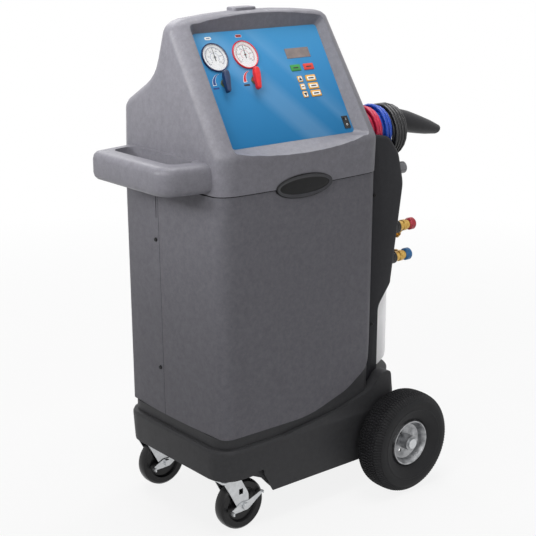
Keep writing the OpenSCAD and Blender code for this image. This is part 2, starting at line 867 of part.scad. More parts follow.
// The shell's loft along Y, narrowing with the covers, moved inside by d
module shell_solid(d, r) {
    hw = body_hd * shell_share - d;
    skin([for (s = end_rings(2 * hw, r, r, 3))
        [for (p = outline(shell_profile, d + s[0], 4))
            [p[0], (hw - s[1]) * shell_half(min(p[1], seam_z)) / (body_hd * shell_share), p[1]]]]);
}

arch_x = 178;
arch_profile = [
    [arch_x, 0, 1], [far, 0, 1], [far, shell_waist[1] + 2, 1], [shell_waist[0] + 1, shell_waist[1] + 2, 6],
    [arch_x, shell_waist[1] - 62, 44]
];

module side_shell() {
    color("black") difference() {
        union() {
            difference() {
                shell_solid(0, 10);
                difference() {
                    shell_solid(shell_wall, 6);
                    block([-far, -alcove_r - shell_wall, 0], [far, alcove_r + shell_wall, far]);
                }
            }
            intersection() {
                translate([tank_x, 0, shell_foot_z])
                    cylinder(r = alcove_r + wall, h = alcove_top_z + wall - shell_foot_z, $fn = 96);
                block([-far, -far, 0], [shell_x1 + 10, far, far]);
            }
        }
        translate([tank_x, 0, 0]) cylinder(r = alcove_r, h = alcove_top_z, $fn = 96);
        block([tank_x, -alcove_r, 0], [far, alcove_r, alcove_top_z]);
        upright(-far, 2 * far) linear_extrude(2 * far) polygon(outline(arch_profile));
        block([shell_x1 + 6, -bay_half, bay_floor_z], [far, bay_half, far]);
        block([shell_x1 - overcut, hook_y - coil_room, lead_coil_z - 30], [far, bay_half, far]);
        translate([shell_x1 + 6, hook_y, lead_coil_z]) rotate([0, 90, 0]) cylinder(r = coil_room, h = far);
    }
}

// Hose hook: a horn on a flange at the hood's side
function horn_ring(x, top, foot, half, lean) =
    [for (k = [0:15])
        let (a = 360 * k / 16)
        let (z = mix(foot, top, (1 + sin(a)) / 2))
        [x + lean * (z - mix(foot, top, 0.5)), hook_y + half * cos(a), z]];
horn_top = coil_z + coil_r_in - fit;
horn_foot = coil_z - 13;
tip_h = 23;
tip_lean = 0.6;
module hose_hook() {
    color("dimgray") union() {
        skin([
            horn_ring(hook_root_x + 4, horn_top, horn_foot, 26, 0),
            horn_ring(hook_tip_x - 165, horn_top, horn_foot, 26, 0),
            horn_ring(hook_tip_x - 140, horn_top - 2, horn_foot - 2, 27, 0),
            horn_ring(hook_tip_x - 110, horn_top - 10, horn_foot - 8, 27, 0),
            horn_ring(hook_tip_x - 75, horn_top - 24, horn_foot - 14, 26, 0.1),
            horn_ring(hook_tip_x - 40, horn_top - 40, horn_foot - 19, 23, 0.35),
            horn_ring(hook_tip_x - tip_lean * tip_h / 2, horn_foot - 22 + tip_h, horn_foot - 22, 18, tip_lean)
        ]);
        translate([hook_root_x, hook_y, coil_z + 16]) rotate([0, 90, 0]) linear_extrude(6)
            polygon(outline([[36, -32, 20], [36, 32, 20], [-36, 32, 20], [-36, -32, 20]]));
    }
}

// Couplers and posts

function shell_face_x(z) =
    mix(shell_waist[0], shell_chest[0], (z - shell_waist[1]) / (shell_chest[1] - shell_waist[1]));
peg_x = shell_chest[0] - 1.5;

module storage_posts() {
    color("black") for (z = [high_coupler_z, low_coupler_z])
        translate([shell_face_x(z) - 2, coupler_y, z]) rotate([0, 90, 0]) union() {
            translate([0, 0, 2.5]) cylinder(r1 = 15, r2 = 12, h = 5);
            cylinder(r = post_r, h = post_len + socket_len - 1);
        }
    color("gray") translate([peg_x, coupler_y, peg_z]) rotate([0, 90, 0]) union() {
        translate([0, 0, -peg_root]) cylinder(r = peg_r - 3, h = peg_root + 1);
        cylinder(r = peg_r, h = peg_len - 3);
        translate([0, 0, peg_len - 3]) cylinder(r1 = peg_r, r2 = peg_r - 3, h = 3);
    }
}

coupler_profile = [
    [post_r + fit, 0], [13, 0], [14.5, 1.5], [14.5, 14], [12.5, 15.5], [12.5, 26], [14, 27], [14, 38],
    [11, 40], [11, coupler_len], [6, coupler_len], [6, coupler_len + spindle_len],
    [0, coupler_len + spindle_len], [0, socket_len], [post_r + fit, socket_len]
];
port_r = 7;
port_collar_r = 9.5;
high_port_turn = 40;
low_port_turn = 45;
high_port_x = 292;
low_port_x = 268;
high_port_len = 40;
low_port_len = 36;

// A hose port with its collar
module coupler_port(length) {
    cylinder(r = port_r, h = length);
    translate([0, 0, length - 9]) cylinder(r = port_collar_r, h = 9);
}

module service_couplers() {
    color("goldenrod") {
        for (z = [high_coupler_z, low_coupler_z])
            about_x([shell_face_x(z) - 2 + post_len, coupler_y, z]) polygon(coupler_profile);
        translate([high_port_x, coupler_y, high_coupler_z]) rotate([180 + high_port_turn, 0, 0])
            coupler_port(high_port_len);
        translate([low_port_x, coupler_y, low_coupler_z]) rotate([0, 90, low_port_turn])
            coupler_port(low_port_len);
    }
}

knob_hole = spindle_len + fit;
module coupler_knob(z) {
    about_x([shell_face_x(z) - 2 + post_len + coupler_len + fit, coupler_y, z]) polygon([
        [6 + running, 0], [12, 0], [knob_r, 4], [knob_r, knob_len - 3], [knob_r - 2, knob_len], [0, knob_len],
        [0, knob_hole], [6 + running, knob_hole]
    ]);
}

module high_coupler_knob() {
    color("red") coupler_knob(high_coupler_z);
}

module low_coupler_knob() {
    color("blue") coupler_knob(low_coupler_z);
}

// Wheels

tread_grooves = 3;
lugs = 24;
lug_w = 7;
lug_depth = 4;
tyre_profile = [
    [rim_r + 0.3, -24], [rim_r + 6, -30], [tyre_r - 48, -38], [tyre_r - 30, -tyre_w / 2],
    [tyre_r - 16, -tyre_w / 2 + 2], [tyre_r - 5, -tyre_w / 2 + 12], [tyre_r, -18], [tyre_r, 18],
    [tyre_r - 5, tyre_w / 2 - 12], [tyre_r - 16, tyre_w / 2 - 2], [tyre_r - 30, tyre_w / 2],
    [tyre_r - 48, 38], [rim_r + 6, 30], [rim_r + 0.3, 24]
];

// A tyre about its own axis, with grooves around and lugs across its shoulders
module tyre_solid() {
    difference() {
        rotate_extrude($fn = 96) polygon(tyre_profile);
        for (k = [0:tread_grooves - 1])
            translate([0, 0, (k - (tread_grooves - 1) / 2) * 12 - 2]) difference() {
                cylinder(r = tyre_r + 5, h = 4, $fn = 96);
                cylinder(r = tyre_r - 3, h = 4, $fn = 96);
            }
        for (k = [0:lugs - 1], s = [-1, 1])
            rotate([0, 0, (k + s / 4) * 360 / lugs])
                translate([tyre_r - lug_depth, -lug_w / 2, s > 0 ? 19 : -60]) cube([40, lug_w, 41]);
    }
}

hub_r = 19;
hub_out = 34;
hub_in = 40;
valve_hole_r = 4.5;

module wheel_at(y, out) {
    translate([axle_x, y, axle_z]) rotate([90 * out, 0, 0]) children();
}

// Dished steel rim, its profile drawn as [radius, distance outwards]
module rim_solid() {
    difference() {
        rotate_extrude($fn = 96) polygon([
            [axle_r + running, -hub_in], [hub_r, -hub_in], [hub_r, 3], [32, 3], [43, 7], [46, -22],
            [rim_r - 2, -24], [rim_r - 0.2, -23], [rim_r - 0.2, 23], [rim_r - 2, 27], [rim_r - 3, 30],
            [rim_r - 6, 30], [50, 24], [45, 12], [32, 7], [hub_r, 7], [hub_r, hub_out],
            [axle_r + running, hub_out]
        ]);
        for (a = [0, 120, 240]) rotate([0, 0, a]) translate([27, 0, 0])
            cylinder(r = valve_hole_r, h = 40, center = true);
    }
}

module near_tyre() {
    color("black") wheel_at(-track_half, 1) tyre_solid();
}

module near_rim() {
    color("silver") wheel_at(-track_half, 1) rim_solid();
}

module far_tyre() {
    color("black") wheel_at(track_half, -1) tyre_solid();
}

module far_rim() {
    color("silver") wheel_at(track_half, -1) rim_solid();
}

// Axle with its spacers and end caps
module rear_axle() {
    cap_r = axle_r + 4.5;
    half = track_half + hub_out + fit;
    spacer = track_half - hub_in - fit;
    color("silver") translate([axle_x, 0, axle_z]) rotate([90, 0, 0]) union() {
        cylinder(r = axle_r, h = 2 * half, center = true);
        for (s = [-1, 1]) {
            translate([0, 0, s * (half + 2)]) cylinder(r = cap_r, h = 4, center = true);
            translate([0, 0, s * (spacer - 5)]) cylinder(r = cap_r, h = 10, center = true);
        }
    }
}

// Casters

plate_r = 23;
race_r = 24;
kingpin_r = 6;
crown_t = 5;
crown_r = 26;
brake_t = 2.5;
bolt_r = 9;
brake_y = leg_y + fork_t + fit;
bolt_y = brake_y + brake_t + fit;

module caster_plates() {
    color("silver") for (y = [-caster_half, caster_half]) translate([swivel_x, y, 0]) union() {
        translate([0, 0, race_z]) cylinder(r = plate_r, h = plate_t);
        translate([0, 0, race_z - race_h]) cylinder(r = race_r, h = race_h);
        translate([0, 0, fork_top_z - crown_t - 3])
            cylinder(r = kingpin_r, h = race_z - fork_top_z + crown_t + 3);
        translate([0, 0, fork_top_z - crown_t - fit - 3]) cylinder(r = kingpin_r + 3, h = 3);
    }
}

leg_outline = [
    [wheel_x - 14, caster_r - 13, 12], [wheel_x + 14, caster_r - 13, 12], [wheel_x + 12, caster_r + 30, 24],
    [swivel_x + crown_r, fork_top_z - crown_t + 0.2, 2],
    [swivel_x - crown_r + 3, fork_top_z - crown_t + 0.2, 2]
];

module caster_fork(y) {
    translate([0, y, 0]) difference() {
        union() {
            for (s = [-1, 1]) upright(s * (leg_y + fork_t / 2) - fork_t / 2, fork_t)
                linear_extrude(fork_t) polygon(outline(leg_outline));
            translate([0, 0, fork_top_z - crown_t]) intersection() {
                translate([swivel_x, 0, 0]) cylinder(r = crown_r + 4, h = crown_t);
                block([swivel_x - crown_r, -leg_y - fork_t, 0],
                    [swivel_x + crown_r, leg_y + fork_t, crown_t]);
            }
            translate([wheel_x, 0, caster_r]) rotate([90, 0, 0]) union() {
                cylinder(r = caster_axle_r, h = 2 * bolt_y, center = true);
                for (s = [-1, 1]) translate([0, 0, s * (bolt_y + 2.5)])
                    cylinder(r = bolt_r, h = 5, center = true, $fn = 6);
            }
        }
        translate([swivel_x, 0, fork_top_z - overcut]) cylinder(r = kingpin_r + running, h = 2 * overcut);
        block([wheel_x - 16, -far, caster_r + 32], [wheel_x - 4, far, caster_r + 46]);
    }
}

module near_caster_fork() {
    color("silver") caster_fork(-caster_half);
}

module far_caster_fork() {
    color("silver") caster_fork(caster_half);
}

module caster_wheel(y) {
    hw = caster_w / 2;
    about_y([wheel_x, y, caster_r]) polygon([
        [caster_axle_r + running, -hw - 2.5], [12, -hw - 2.5], [13, -hw + 5], [40, -hw + 7], [44, -hw + 1],
        [caster_r - 6, -hw], [caster_r - 1.5, -hw + 4], [caster_r, -hw + 10], [caster_r, hw - 10],
        [caster_r - 1.5, hw - 4], [caster_r - 6, hw], [44, hw - 1], [40, hw - 7], [13, hw - 5],
        [12, hw + 2.5], [caster_axle_r + running, hw + 2.5]
    ]);
}

module near_caster_wheel() {
    color("black") caster_wheel(-caster_half);
}

module far_caster_wheel() {
    color("black") caster_wheel(caster_half);
}

// Side brake lever: a plate on the axle bolt with a pedal at one end and a hooked tab at the other
brake_outline = [
    [wheel_x - 40, caster_r - 12, 3], [wheel_x - 12, caster_r - 12, 9], [wheel_x + 12, caster_r - 9, 9],
    [wheel_x + 54, caster_r + 20, 2.5], [wheel_x + 52, caster_r + 27, 2.5], [wheel_x + 10, caster_r + 11, 9],
    [wheel_x - 10, caster_r + 11, 9], [wheel_x - 40, caster_r - 3, 3]
];

module caster_brake(y) {
    translate([0, y - brake_y - brake_t, 0]) difference() {
        union() {
            upright(0, brake_t) linear_extrude(brake_t) polygon(outline(brake_outline));
            block([wheel_x - 42, -11, caster_r - 12], [wheel_x - 39, brake_t, caster_r - 3]);
            block([wheel_x + 50.5, -6, caster_r + 20], [wheel_x + 53, brake_t, caster_r + 26]);
        }
        translate([wheel_x, overcut, caster_r]) rotate([90, 0, 0])
            cylinder(r = caster_axle_r + running, h = 2 * overcut);
    }
}

module near_caster_brake() {
    color("silver") caster_brake(-caster_half);
}

module far_caster_brake() {
    color("silver") caster_brake(caster_half);
}

// Recovery tank

tank_ring_r = tank_r - 24;
guard_r = 80;
guard_h = 92;
guard_t = 3;
spindle_z = 26;
spindle_y = 40;
spindle_r = 5;
hand_r = 19;
hand_l = 18;

// Outline of half the tank's body, moved inside by d
function tank_half(d) = [
    [tank_r - 32, 16 + d], [tank_r - 10 - d / 2, 24 + d], [tank_r - 2 - d, 36 + d / 2], [tank_r - d, 52],
    [tank_r - d, tank_h - 62], [tank_r - 2 - d, tank_h - 46 - d / 2], [tank_r - 12 - d / 2, tank_h - 28 - d],
    [tank_r - 36, tank_h - 11 - d], [tank_r - 70, tank_h - 2 - d]
];
tank_wall = 3.5;
neck_r = 9;

module recovery_tank() {
    color("lightgray") translate([tank_x, 0, tank_foot_z]) {
        difference() {
            union() {
                rotate_extrude($fn = 96) polygon(concat([[0, 16]], tank_half(0), [[0, tank_h]]));
                cylinder(r = tank_ring_r, h = 24);
                translate([0, 0, tank_h - 14]) cylinder(r = guard_r, h = guard_h + 14);
            }
            rotate_extrude($fn = 96) polygon(concat([[0, 16 + tank_wall]], tank_half(tank_wall),
                [[neck_r, tank_h - tank_wall - 1], [neck_r, tank_h + 1], [0, tank_h + 1]]));
            translate([0, 0, -1]) cylinder(r = tank_ring_r - guard_t, h = 17);
            translate([0, 0, tank_h]) cylinder(r = guard_r - guard_t, h = guard_h + 1);
            for (a = [0, 180]) rotate([0, 0, a]) translate([0, -45, tank_h + 34]) cube([guard_r + 5, 90, 38]);
        }
    }
    color("goldenrod") translate([tank_x, 0, tank_foot_z + tank_h + fit / 3]) union() {
        cylinder(r = 15, h = spindle_z + 14);
        translate([0, 0, spindle_z]) rotate([90, 0, 0]) cylinder(r = 10, h = 2 * spindle_y, center = true);
        translate([0, 0, spindle_z]) rotate([90, 0, 0])
            cylinder(r = spindle_r, h = 2 * (spindle_y + hand_l - 5), center = true);
    }
}

module tank_knob(s) {
    z = tank_foot_z + tank_h + fit / 3 + spindle_z;
    translate([tank_x, s * (spindle_y + fit), z]) rotate([-90 * s, 0, 0]) difference() {
        union() {
            cylinder(r = hand_r - 3, h = hand_l);
            for (a = [0:60:300]) rotate([0, 0, a]) translate([hand_r - 4, 0, 0])
                cylinder(r = 4, h = hand_l, $fn = 24);
        }
        translate([0, 0, -1]) cylinder(r = spindle_r + running, h = hand_l - 4);
    }
}

module liquid_valve_knob() {
    color("red") tank_knob(-1);
}

module vapour_valve_knob() {
    color("blue") tank_knob(1);
}

// Inside the cabinet

pan_x0 = -288;
pan_x1 = 58;
pan_half = 140;
pan_t = 2.5;
pan_z = deck_z + running;
shelf_z = 470;
frame_top_z = seam_z - 41;

module chassis_frame() {
    color("lightsteelblue") union() {
        block([pan_x0, -pan_half, pan_z], [pan_x1, pan_half, pan_z + pan_t]);
        block([pan_x0, -pan_half, shelf_z], [pan_x1, pan_half, shelf_z + pan_t]);
        for (x = [pan_x0, pan_x1 - pan_t])
            block([x, -pan_half, pan_z], [x + pan_t, pan_half, frame_top_z]);
    }
}

floor_z = pan_z + pan_t + running;
top_z = shelf_z + pan_t + running;

// Hermetic compressor on its foot plate
module compressor() {
    color("black") translate([-195, 0, floor_z]) union() {
        block([-75, -65, 0], [75, 65, 4]);
        rotate_extrude() polygon([
            [0, 4], [66, 4], [70, 10], [70, 84], [73, 85], [73, 91], [70, 92], [70, 150], [60, 172],
            [36, 184], [0, 188]
        ]);
        block([64, -24, 70], [84, 24, 130]);
    }
}

// Vacuum pump: motor, pump block and foot
module vacuum_pump() {
    color("slategray") translate([-45, 0, floor_z]) union() {
        block([-50, -100, 0], [50, 100, 4]);
        block([-34, -90, 3], [34, 90, 30]);
        translate([0, 100, 75]) rotate([90, 0, 0]) cylinder(r = 50, h = 120);
        translate([0, -19, 75]) rotate([90, 0, 0]) cylinder(r = 42, h = 90);
        translate([0, -60, 110]) cylinder(r = 9, h = 40);
    }
}

// Condenser coil with its fan shroud and motor
coil_x0 = -250;
coil_w = 250;
coil_h = 240;
coil_y = 70;
coil_t = 44;
fan_r = 100;
fan_x = coil_x0 + coil_w / 2;
fan_z = top_z + coil_h / 2;
shroud_t = 30;
motor_r = 30;
shaft_r = 4;
fin_pitch = 20;

module condenser() {
    color("lightgray") {
        difference() {
            union() {
                block([coil_x0, coil_y, top_z], [coil_x0 + coil_w, coil_y + coil_t, top_z + coil_h]);
                block([coil_x0, coil_y - shroud_t, top_z], [coil_x0 + coil_w, coil_y, top_z + coil_h]);
            }
            translate([fan_x, coil_y - 1, fan_z]) rotate([90, 0, 0])
                cylinder(r = fan_r + 6, h = far, $fn = 96);
            for (z = [fin_pitch:fin_pitch:coil_h - fin_pitch])
                block([coil_x0 + 8, coil_y + 8, top_z + z - 3], [coil_x0 + coil_w - 8, far, top_z + z + 3]);
        }
        translate([fan_x, coil_y - shroud_t - 8, fan_z]) rotate([90, 0, 0]) cylinder(r = motor_r, h = 46);
        translate([fan_x, coil_y - 4, fan_z]) rotate([90, 0, 0]) cylinder(r = shaft_r, h = shroud_t + 8);
        for (a = [45:90:315]) translate([fan_x, coil_y - shroud_t - 8, fan_z]) rotate([0, a, 0])
            block([0, -5, -5], [fan_r + 22, 0, 5]);
        for (a = [45:90:315]) translate([fan_x, coil_y - shroud_t - 13, fan_z]) rotate([0, a, 0])
            block([fan_r + 10, 0, -5], [fan_r + 22, 14, 5]);
    }
}

blades = 5;
module cooling_fan() {
    color("black") translate([fan_x, coil_y - 7, fan_z]) rotate([90, 0, 0]) difference() {
        union() {
            cylinder(r = 20, h = 22);
            for (k = [0:blades - 1]) rotate([0, 0, 360 * k / blades]) translate([15, 0, 11])
                rotate([28, 0, 0]) block([0, -18, -1.2], [fan_r - 16, 18, 1.2]);
        }
        translate([0, 0, -1]) cylinder(r = shaft_r + running, h = 40);
    }
}

module filter_drier() {
    color("steelblue") translate([-240, -80, top_z]) rotate_extrude() polygon([
        [0, 0], [30, 0], [36, 6], [36, 150], [26, 162], [9, 168], [9, 184], [0, 184]
    ]);
}

// Cords

gland_foot_r = 11;

module outlet_glands() {
    color("black") for (p = [red_start[0], blue_start[0], black_start[0]])
        translate([p[0], p[1], gland_z]) cylinder(r1 = gland_foot_r, r2 = 6.5, h = p[2] - gland_z - fit);
}

// Coil of a cord: the outer shape of its turns around the hook
module cord_coil(x, z, r0, across, d) {
    r1 = r0 + 2 * d;
    about_x([x, hook_y, z]) polygon(outline([
        [r0, 0, d / 3], [r1, 0, d / 3], [r1, across * d, d / 3], [r0, across * d, d / 3]
    ]));
}

// Points of a smooth curve through a route, two steps to a stretch
function smooth(route) =
    let (m = len(route))
    concat([for (i = [0:m - 2], t = [0, 0.5])
        let (a = route[max(i - 1, 0)])
        let (b = route[i])
        let (c = route[i + 1])
        let (e = route[min(i + 2, m - 1)])
        b + (c - a) * t / 2 + (2 * a - 5 * b + 4 * c - e) * t * t / 2
            + (3 * b - a - 3 * c + e) * t * t * t / 2],
        [route[m - 1]]);
function headings(path) =
    let (m = len(path))
    [for (i = [0:m - 1]) unit(path[min(i + 1, m - 1)] - path[max(i - 1, 0)])];
function carried(heads, w, i = 0) =
    i == len(heads) ? [] :
    let (v = unit(w - heads[i] * (w * heads[i])))
    concat([v], carried(heads, v, i + 1));

module tube(route, d, sides = 10) {
    path = smooth(route);
    heads = headings(path);
    across = carried(heads, [0.6, 0.8, 0.1]);
    skin([for (i = [0:len(path) - 1])
        [for (k = [0:sides - 1])
            let (a = 360 * k / sides)
            path[i] + (across[i] * cos(a) + cross(heads[i], across[i]) * sin(a)) * d / 2]]);
}

module red_hose_coil() {
    color("red") cord_coil(red_x, coil_z, coil_r_in, turns_across, hose_d);
}

module red_hose_lead() {
    color("red") {
        tube(red_start, hose_d);
        tube(red_end, hose_d);
    }
}

module blue_hose_coil() {
    color("blue") cord_coil(blue_x, coil_z, coil_r_in, turns_across, hose_d);
}

module blue_hose_lead() {
    color("blue") {
        tube(blue_start, hose_d);
        tube(blue_end, hose_d);
    }
}

module power_cord_coil() {
    color("black") cord_coil(black_x, lead_coil_z, lead_coil_r_in, lead_turns_across, lead_d);
}

module power_cord_lead() {
    color("black") {
        tube(black_start, lead_d);
        tube(black_end, lead_d);
    }
}

// Moulded mains plug hanging at the lead's end
plug_l = 42;
prong = [1.5, 6.5, 18];
module power_plug() {
    color("black") translate(plug_at) rotate([180, 0, 0]) union() {
        translate([0, 0, fit]) rotate_extrude() polygon([
            [0, 0], [lead_d / 2 + 1, 0], [lead_d / 2 + 2, 12], [14, 20], [16, 26], [16, plug_l], [0, plug_l]
        ]);
        for (s = [-1, 1]) translate([s * 6.3 - prong[0] / 2, -prong[1] / 2, plug_l]) cube(prong);
        translate([0, 11 - 0.5, plug_l]) cylinder(r = 2.4, h = prong[2] + 3);
    }
}

base_tray();
chassis_frame();
front_cover();
rear_cover();
side_shell();
top_hood();
hose_hook();
control_panel();
low_gauge_case();
high_gauge_case();
clear_windows();
low_gauge_needle();
high_gauge_needle();
valve_manifold();
low_valve_lever();
high_valve_lever();
start_key();
stop_key();
up_key();
enter_key();
down_key();
upper_function_key();
middle_function_key();
lower_function_key();
switch_bezel();
power_rocker();
storage_posts();
service_couplers();
high_coupler_knob();
low_coupler_knob();
rear_axle();
near_tyre();
near_rim();
far_tyre();
far_rim();
caster_plates();
near_caster_fork();
far_caster_fork();
near_caster_wheel();
far_caster_wheel();
near_caster_brake();
far_caster_brake();
recovery_tank();
liquid_valve_knob();
vapour_valve_knob();
compressor();
vacuum_pump();
condenser();
cooling_fan();
filter_drier();
circuit_board();
cover_screws();
outlet_glands();
power_cord_coil();
power_cord_lead();
power_plug();
blue_hose_coil();
blue_hose_lead();
red_hose_coil();
red_hose_lead();
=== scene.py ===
"""Looks of a refrigerant recovery cart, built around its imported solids."""

import json
import math

import bmesh
import bpy
from mathutils import Matrix, Vector
from mathutils.bvhtree import BVHTree


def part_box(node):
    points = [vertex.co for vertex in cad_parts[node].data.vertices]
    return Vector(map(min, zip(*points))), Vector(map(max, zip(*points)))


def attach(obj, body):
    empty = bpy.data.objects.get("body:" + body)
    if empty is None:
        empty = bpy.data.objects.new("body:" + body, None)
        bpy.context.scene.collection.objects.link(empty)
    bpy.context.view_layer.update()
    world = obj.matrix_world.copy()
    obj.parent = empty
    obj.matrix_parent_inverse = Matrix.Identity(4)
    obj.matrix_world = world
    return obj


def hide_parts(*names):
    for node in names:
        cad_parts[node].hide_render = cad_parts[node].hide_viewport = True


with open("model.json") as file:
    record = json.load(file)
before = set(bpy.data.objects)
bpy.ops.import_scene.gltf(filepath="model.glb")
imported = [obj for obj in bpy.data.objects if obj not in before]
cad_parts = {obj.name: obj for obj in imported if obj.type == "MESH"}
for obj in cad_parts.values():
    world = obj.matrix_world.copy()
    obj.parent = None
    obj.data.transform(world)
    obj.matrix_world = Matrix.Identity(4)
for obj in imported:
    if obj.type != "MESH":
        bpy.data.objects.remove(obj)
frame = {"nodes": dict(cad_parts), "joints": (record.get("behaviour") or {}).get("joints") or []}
nodes = frame["nodes"]
joints = {joint["name"]: joint for joint in frame["joints"]}
scene = bpy.context.scene
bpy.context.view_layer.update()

MM = 0.001
CART = "cart"
AXIS_X = Vector((1, 0, 0))
AXIS_Y = Vector((0, 1, 0))
AXIS_Z = Vector((0, 0, 1))
WHITE = (1, 1, 1, 1)


# Camera, solved from the photograph's wheels, casters and gauges

IMAGE_PX = 536
FOCAL_PX = 1300.0
SENSOR_MM = 36.0
CAMERA_AT = Vector((-2.0081, -2.3841, 1.4525))
CAMERA_AZIMUTH = math.radians(-39.58)
CAMERA_ELEVATION = math.radians(15.95)


def add_camera():
    level = math.cos(CAMERA_ELEVATION)
    back = Vector((
        math.sin(CAMERA_AZIMUTH) * level,
        -math.cos(CAMERA_AZIMUTH) * level,
        math.sin(CAMERA_ELEVATION),
    ))
    right = Vector((math.cos(CAMERA_AZIMUTH), math.sin(CAMERA_AZIMUTH), 0))
    data = bpy.data.cameras.new("camera")
    data.sensor_width = SENSOR_MM
    data.lens = FOCAL_PX * SENSOR_MM / IMAGE_PX
    camera = bpy.data.objects.new("camera", data)
    placed = Matrix((right, back.cross(right), back)).transposed().to_4x4()
    placed.translation = CAMERA_AT
    camera.matrix_world = placed
    scene.collection.objects.link(camera)
    scene.camera = camera


# Kinds of finish

MOTTLE_STOPS = (0.3, 0.7)
GRAIN_DETAIL = 2.0


def tone(red, green, blue):
    """A colour given as screen values from 0 to 255, as the linear values that shaders take."""
    share = [c / 255 for c in (red, green, blue)]
    linear = [c / 12.92 if c <= 0.04045 else ((c + 0.055) / 1.055) ** 2.4 for c in share]
    return (*linear, 1.0)


class Finish:
    """A principled material with procedural detail, in metres of the object's own space."""

    def __init__(self, name, roughness, metallic=0.0, **sockets):
        self.material = bpy.data.materials.new(name)
        self.material.use_nodes = True
        self.tree = self.material.node_tree
        self.shader = self.tree.nodes["Principled BSDF"]
        self.shader.inputs["Roughness"].default_value = roughness
        self.shader.inputs["Metallic"].default_value = metallic
        for socket, value in sockets.items():
            self.shader.inputs[socket.replace("_", " ")].default_value = value
        self.place = self.tree.nodes.new("ShaderNodeTexCoord").outputs["Object"]

    def noise(self, scale, detail=3.0, fine=0.5):
        """Noise; fine is the share of each octave's strength that the next finer one has."""
        node = self.tree.nodes.new("ShaderNodeTexNoise")
        node.inputs["Scale"].default_value = scale
        node.inputs["Detail"].default_value = detail
        node.inputs["Roughness"].default_value = fine
        self.tree.links.new(self.place, node.inputs["Vector"])
        return node.outputs["Fac"]

    def along(self, direction):
        """How far a point lies along a direction."""
        node = self.tree.nodes.new("ShaderNodeVectorMath")
        node.operation = "DOT_PRODUCT"
        node.inputs[1].default_value = direction
        self.tree.links.new(self.place, node.inputs[0])
        return node.outputs["Value"]

    def mapped(self, value, low, high, to_low=0.0, to_high=1.0):
        """A value that runs from low to high, mapped to another range."""
        node = self.tree.nodes.new("ShaderNodeMapRange")
        node.inputs["From Min"].default_value = low
        node.inputs["From Max"].default_value = high
        node.inputs["To Min"].default_value = to_low
        node.inputs["To Max"].default_value = to_high
        self.tree.links.new(value, node.inputs["Value"])
        return node.outputs["Result"]

    def ramp(self, value, stops):
        """Colours at places from 0 to 1, blended between them."""
        node = self.tree.nodes.new("ShaderNodeValToRGB")
        elements = node.color_ramp.elements
        while len(elements) < len(stops):
            elements.new(0.5)
        for element, (at, colour) in zip(elements, stops):
            element.position = at
            element.color = colour
        self.tree.links.new(value, node.inputs["Fac"])
        return node.outputs["Color"]

    def paint(self, colour):
        self.tree.links.new(colour, self.shader.inputs["Base Color"])

    def mottle(self, low, high, scale, detail=3.0, fine=0.5):
        """Lets the colour wander between two tones."""
        stops = list(zip(MOTTLE_STOPS, (low, high)))
        self.paint(self.ramp(self.noise(scale, detail, fine), stops))

    def sheen_patches(self, low, high, scale):
        """Lets the roughness wander between two values."""
        patches = self.mapped(self.noise(scale), 0.0, 1.0, low, high)
        self.tree.links.new(patches, self.shader.inputs["Roughness"])

    def grain(self, scale, depth, strength=1.0):
        """Fine bumps of that depth in metres."""
        node = self.tree.nodes.new("ShaderNodeBump")
        node.inputs["Distance"].default_value = depth
        node.inputs["Strength"].default_value = strength
        self.tree.links.new(self.noise(scale, GRAIN_DETAIL), node.inputs["Height"])
        self.tree.links.new(node.outputs["Normal"], self.shader.inputs["Normal"])


def moulded(name, low, high, roughness=0.55, shine=0.2):
    """Spark-eroded plastic skin, as on large mouldings."""
    finish = Finish(name, roughness, Specular_IOR_Level=shine)
    finish.mottle(low, high, scale=70.0, detail=5.0, fine=0.86)
    finish.grain(scale=900.0, depth=0.25 * MM, strength=0.5)
    finish.sheen_patches(roughness - 0.06, roughness + 0.06, scale=30.0)
    return finish.material


def smooth_plastic(name, low, high, roughness=0.35):
    finish = Finish(name, roughness)
    finish.mottle(low, high, scale=60.0)
    finish.grain(scale=1500.0, depth=0.05 * MM, strength=0.3)
    return finish.material


def plated(name, low, high, roughness=0.3, scale=160.0):
    """Plated or painted bright metal with cloudy patches."""
    finish = Finish(name, roughness, metallic=1.0)
    finish.mottle(low, high, scale)
    finish.sheen_patches(roughness - 0.08, roughness + 0.14, scale)
    finish.grain(scale=600.0, depth=0.08 * MM, strength=0.4)
    return finish.material


def rubber(name, low, high, roughness=0.6, scale=80.0, shine=0.25):
    """Rubber, and soft or painted black that shines as little."""
    finish = Finish(name, roughness, Specular_IOR_Level=shine)
    finish.mottle(low, high, scale)
    finish.grain(scale=1200.0, depth=0.1 * MM, strength=0.5)
    finish.sheen_patches(roughness - 0.08, roughness + 0.08, scale)
    return finish.material


def printed(name, low, high):
    """Screen-printed ink."""
    finish = Finish(name, roughness=0.45)
    finish.mottle(low, high, scale=400.0)
    finish.grain(scale=2000.0, depth=0.02 * MM, strength=0.3)
    return finish.material


def sprayed(name, low, high):
    """Thick sprayed paint on a pressed vessel."""
    finish = Finish(name, roughness=0.35)
    finish.mottle(low, high, scale=20.0)
    finish.grain(scale=300.0, depth=0.1 * MM)
    return finish.material


def clear_lens(name):
    finish = Finish(name, roughness=0.04, Alpha=0.1, IOR=1.4)
    finish.mottle(tone(235, 238, 240), tone(250, 252, 255), scale=40.0)
    return finish.material


# The panel's overlay: tones from foot to top, and the strength of two pale bands along its slant

PANEL_TONES = [(0.0, tone(28, 107, 157)), (0.55, tone(55, 131, 184)), (1.0, tone(70, 149, 202))]
PANEL_SLANT = Vector((0.72, 0.0, 0.69))
PANEL_BANDS = [
    (0.0, 0.0), (0.34, 0.0), (0.40, 0.09), (0.47, 0.09), (0.53, 0.0),
    (0.60, 0.0), (0.64, 0.07), (0.72, 0.0),
]
PANEL_BAND_TONE = tone(206, 230, 244)


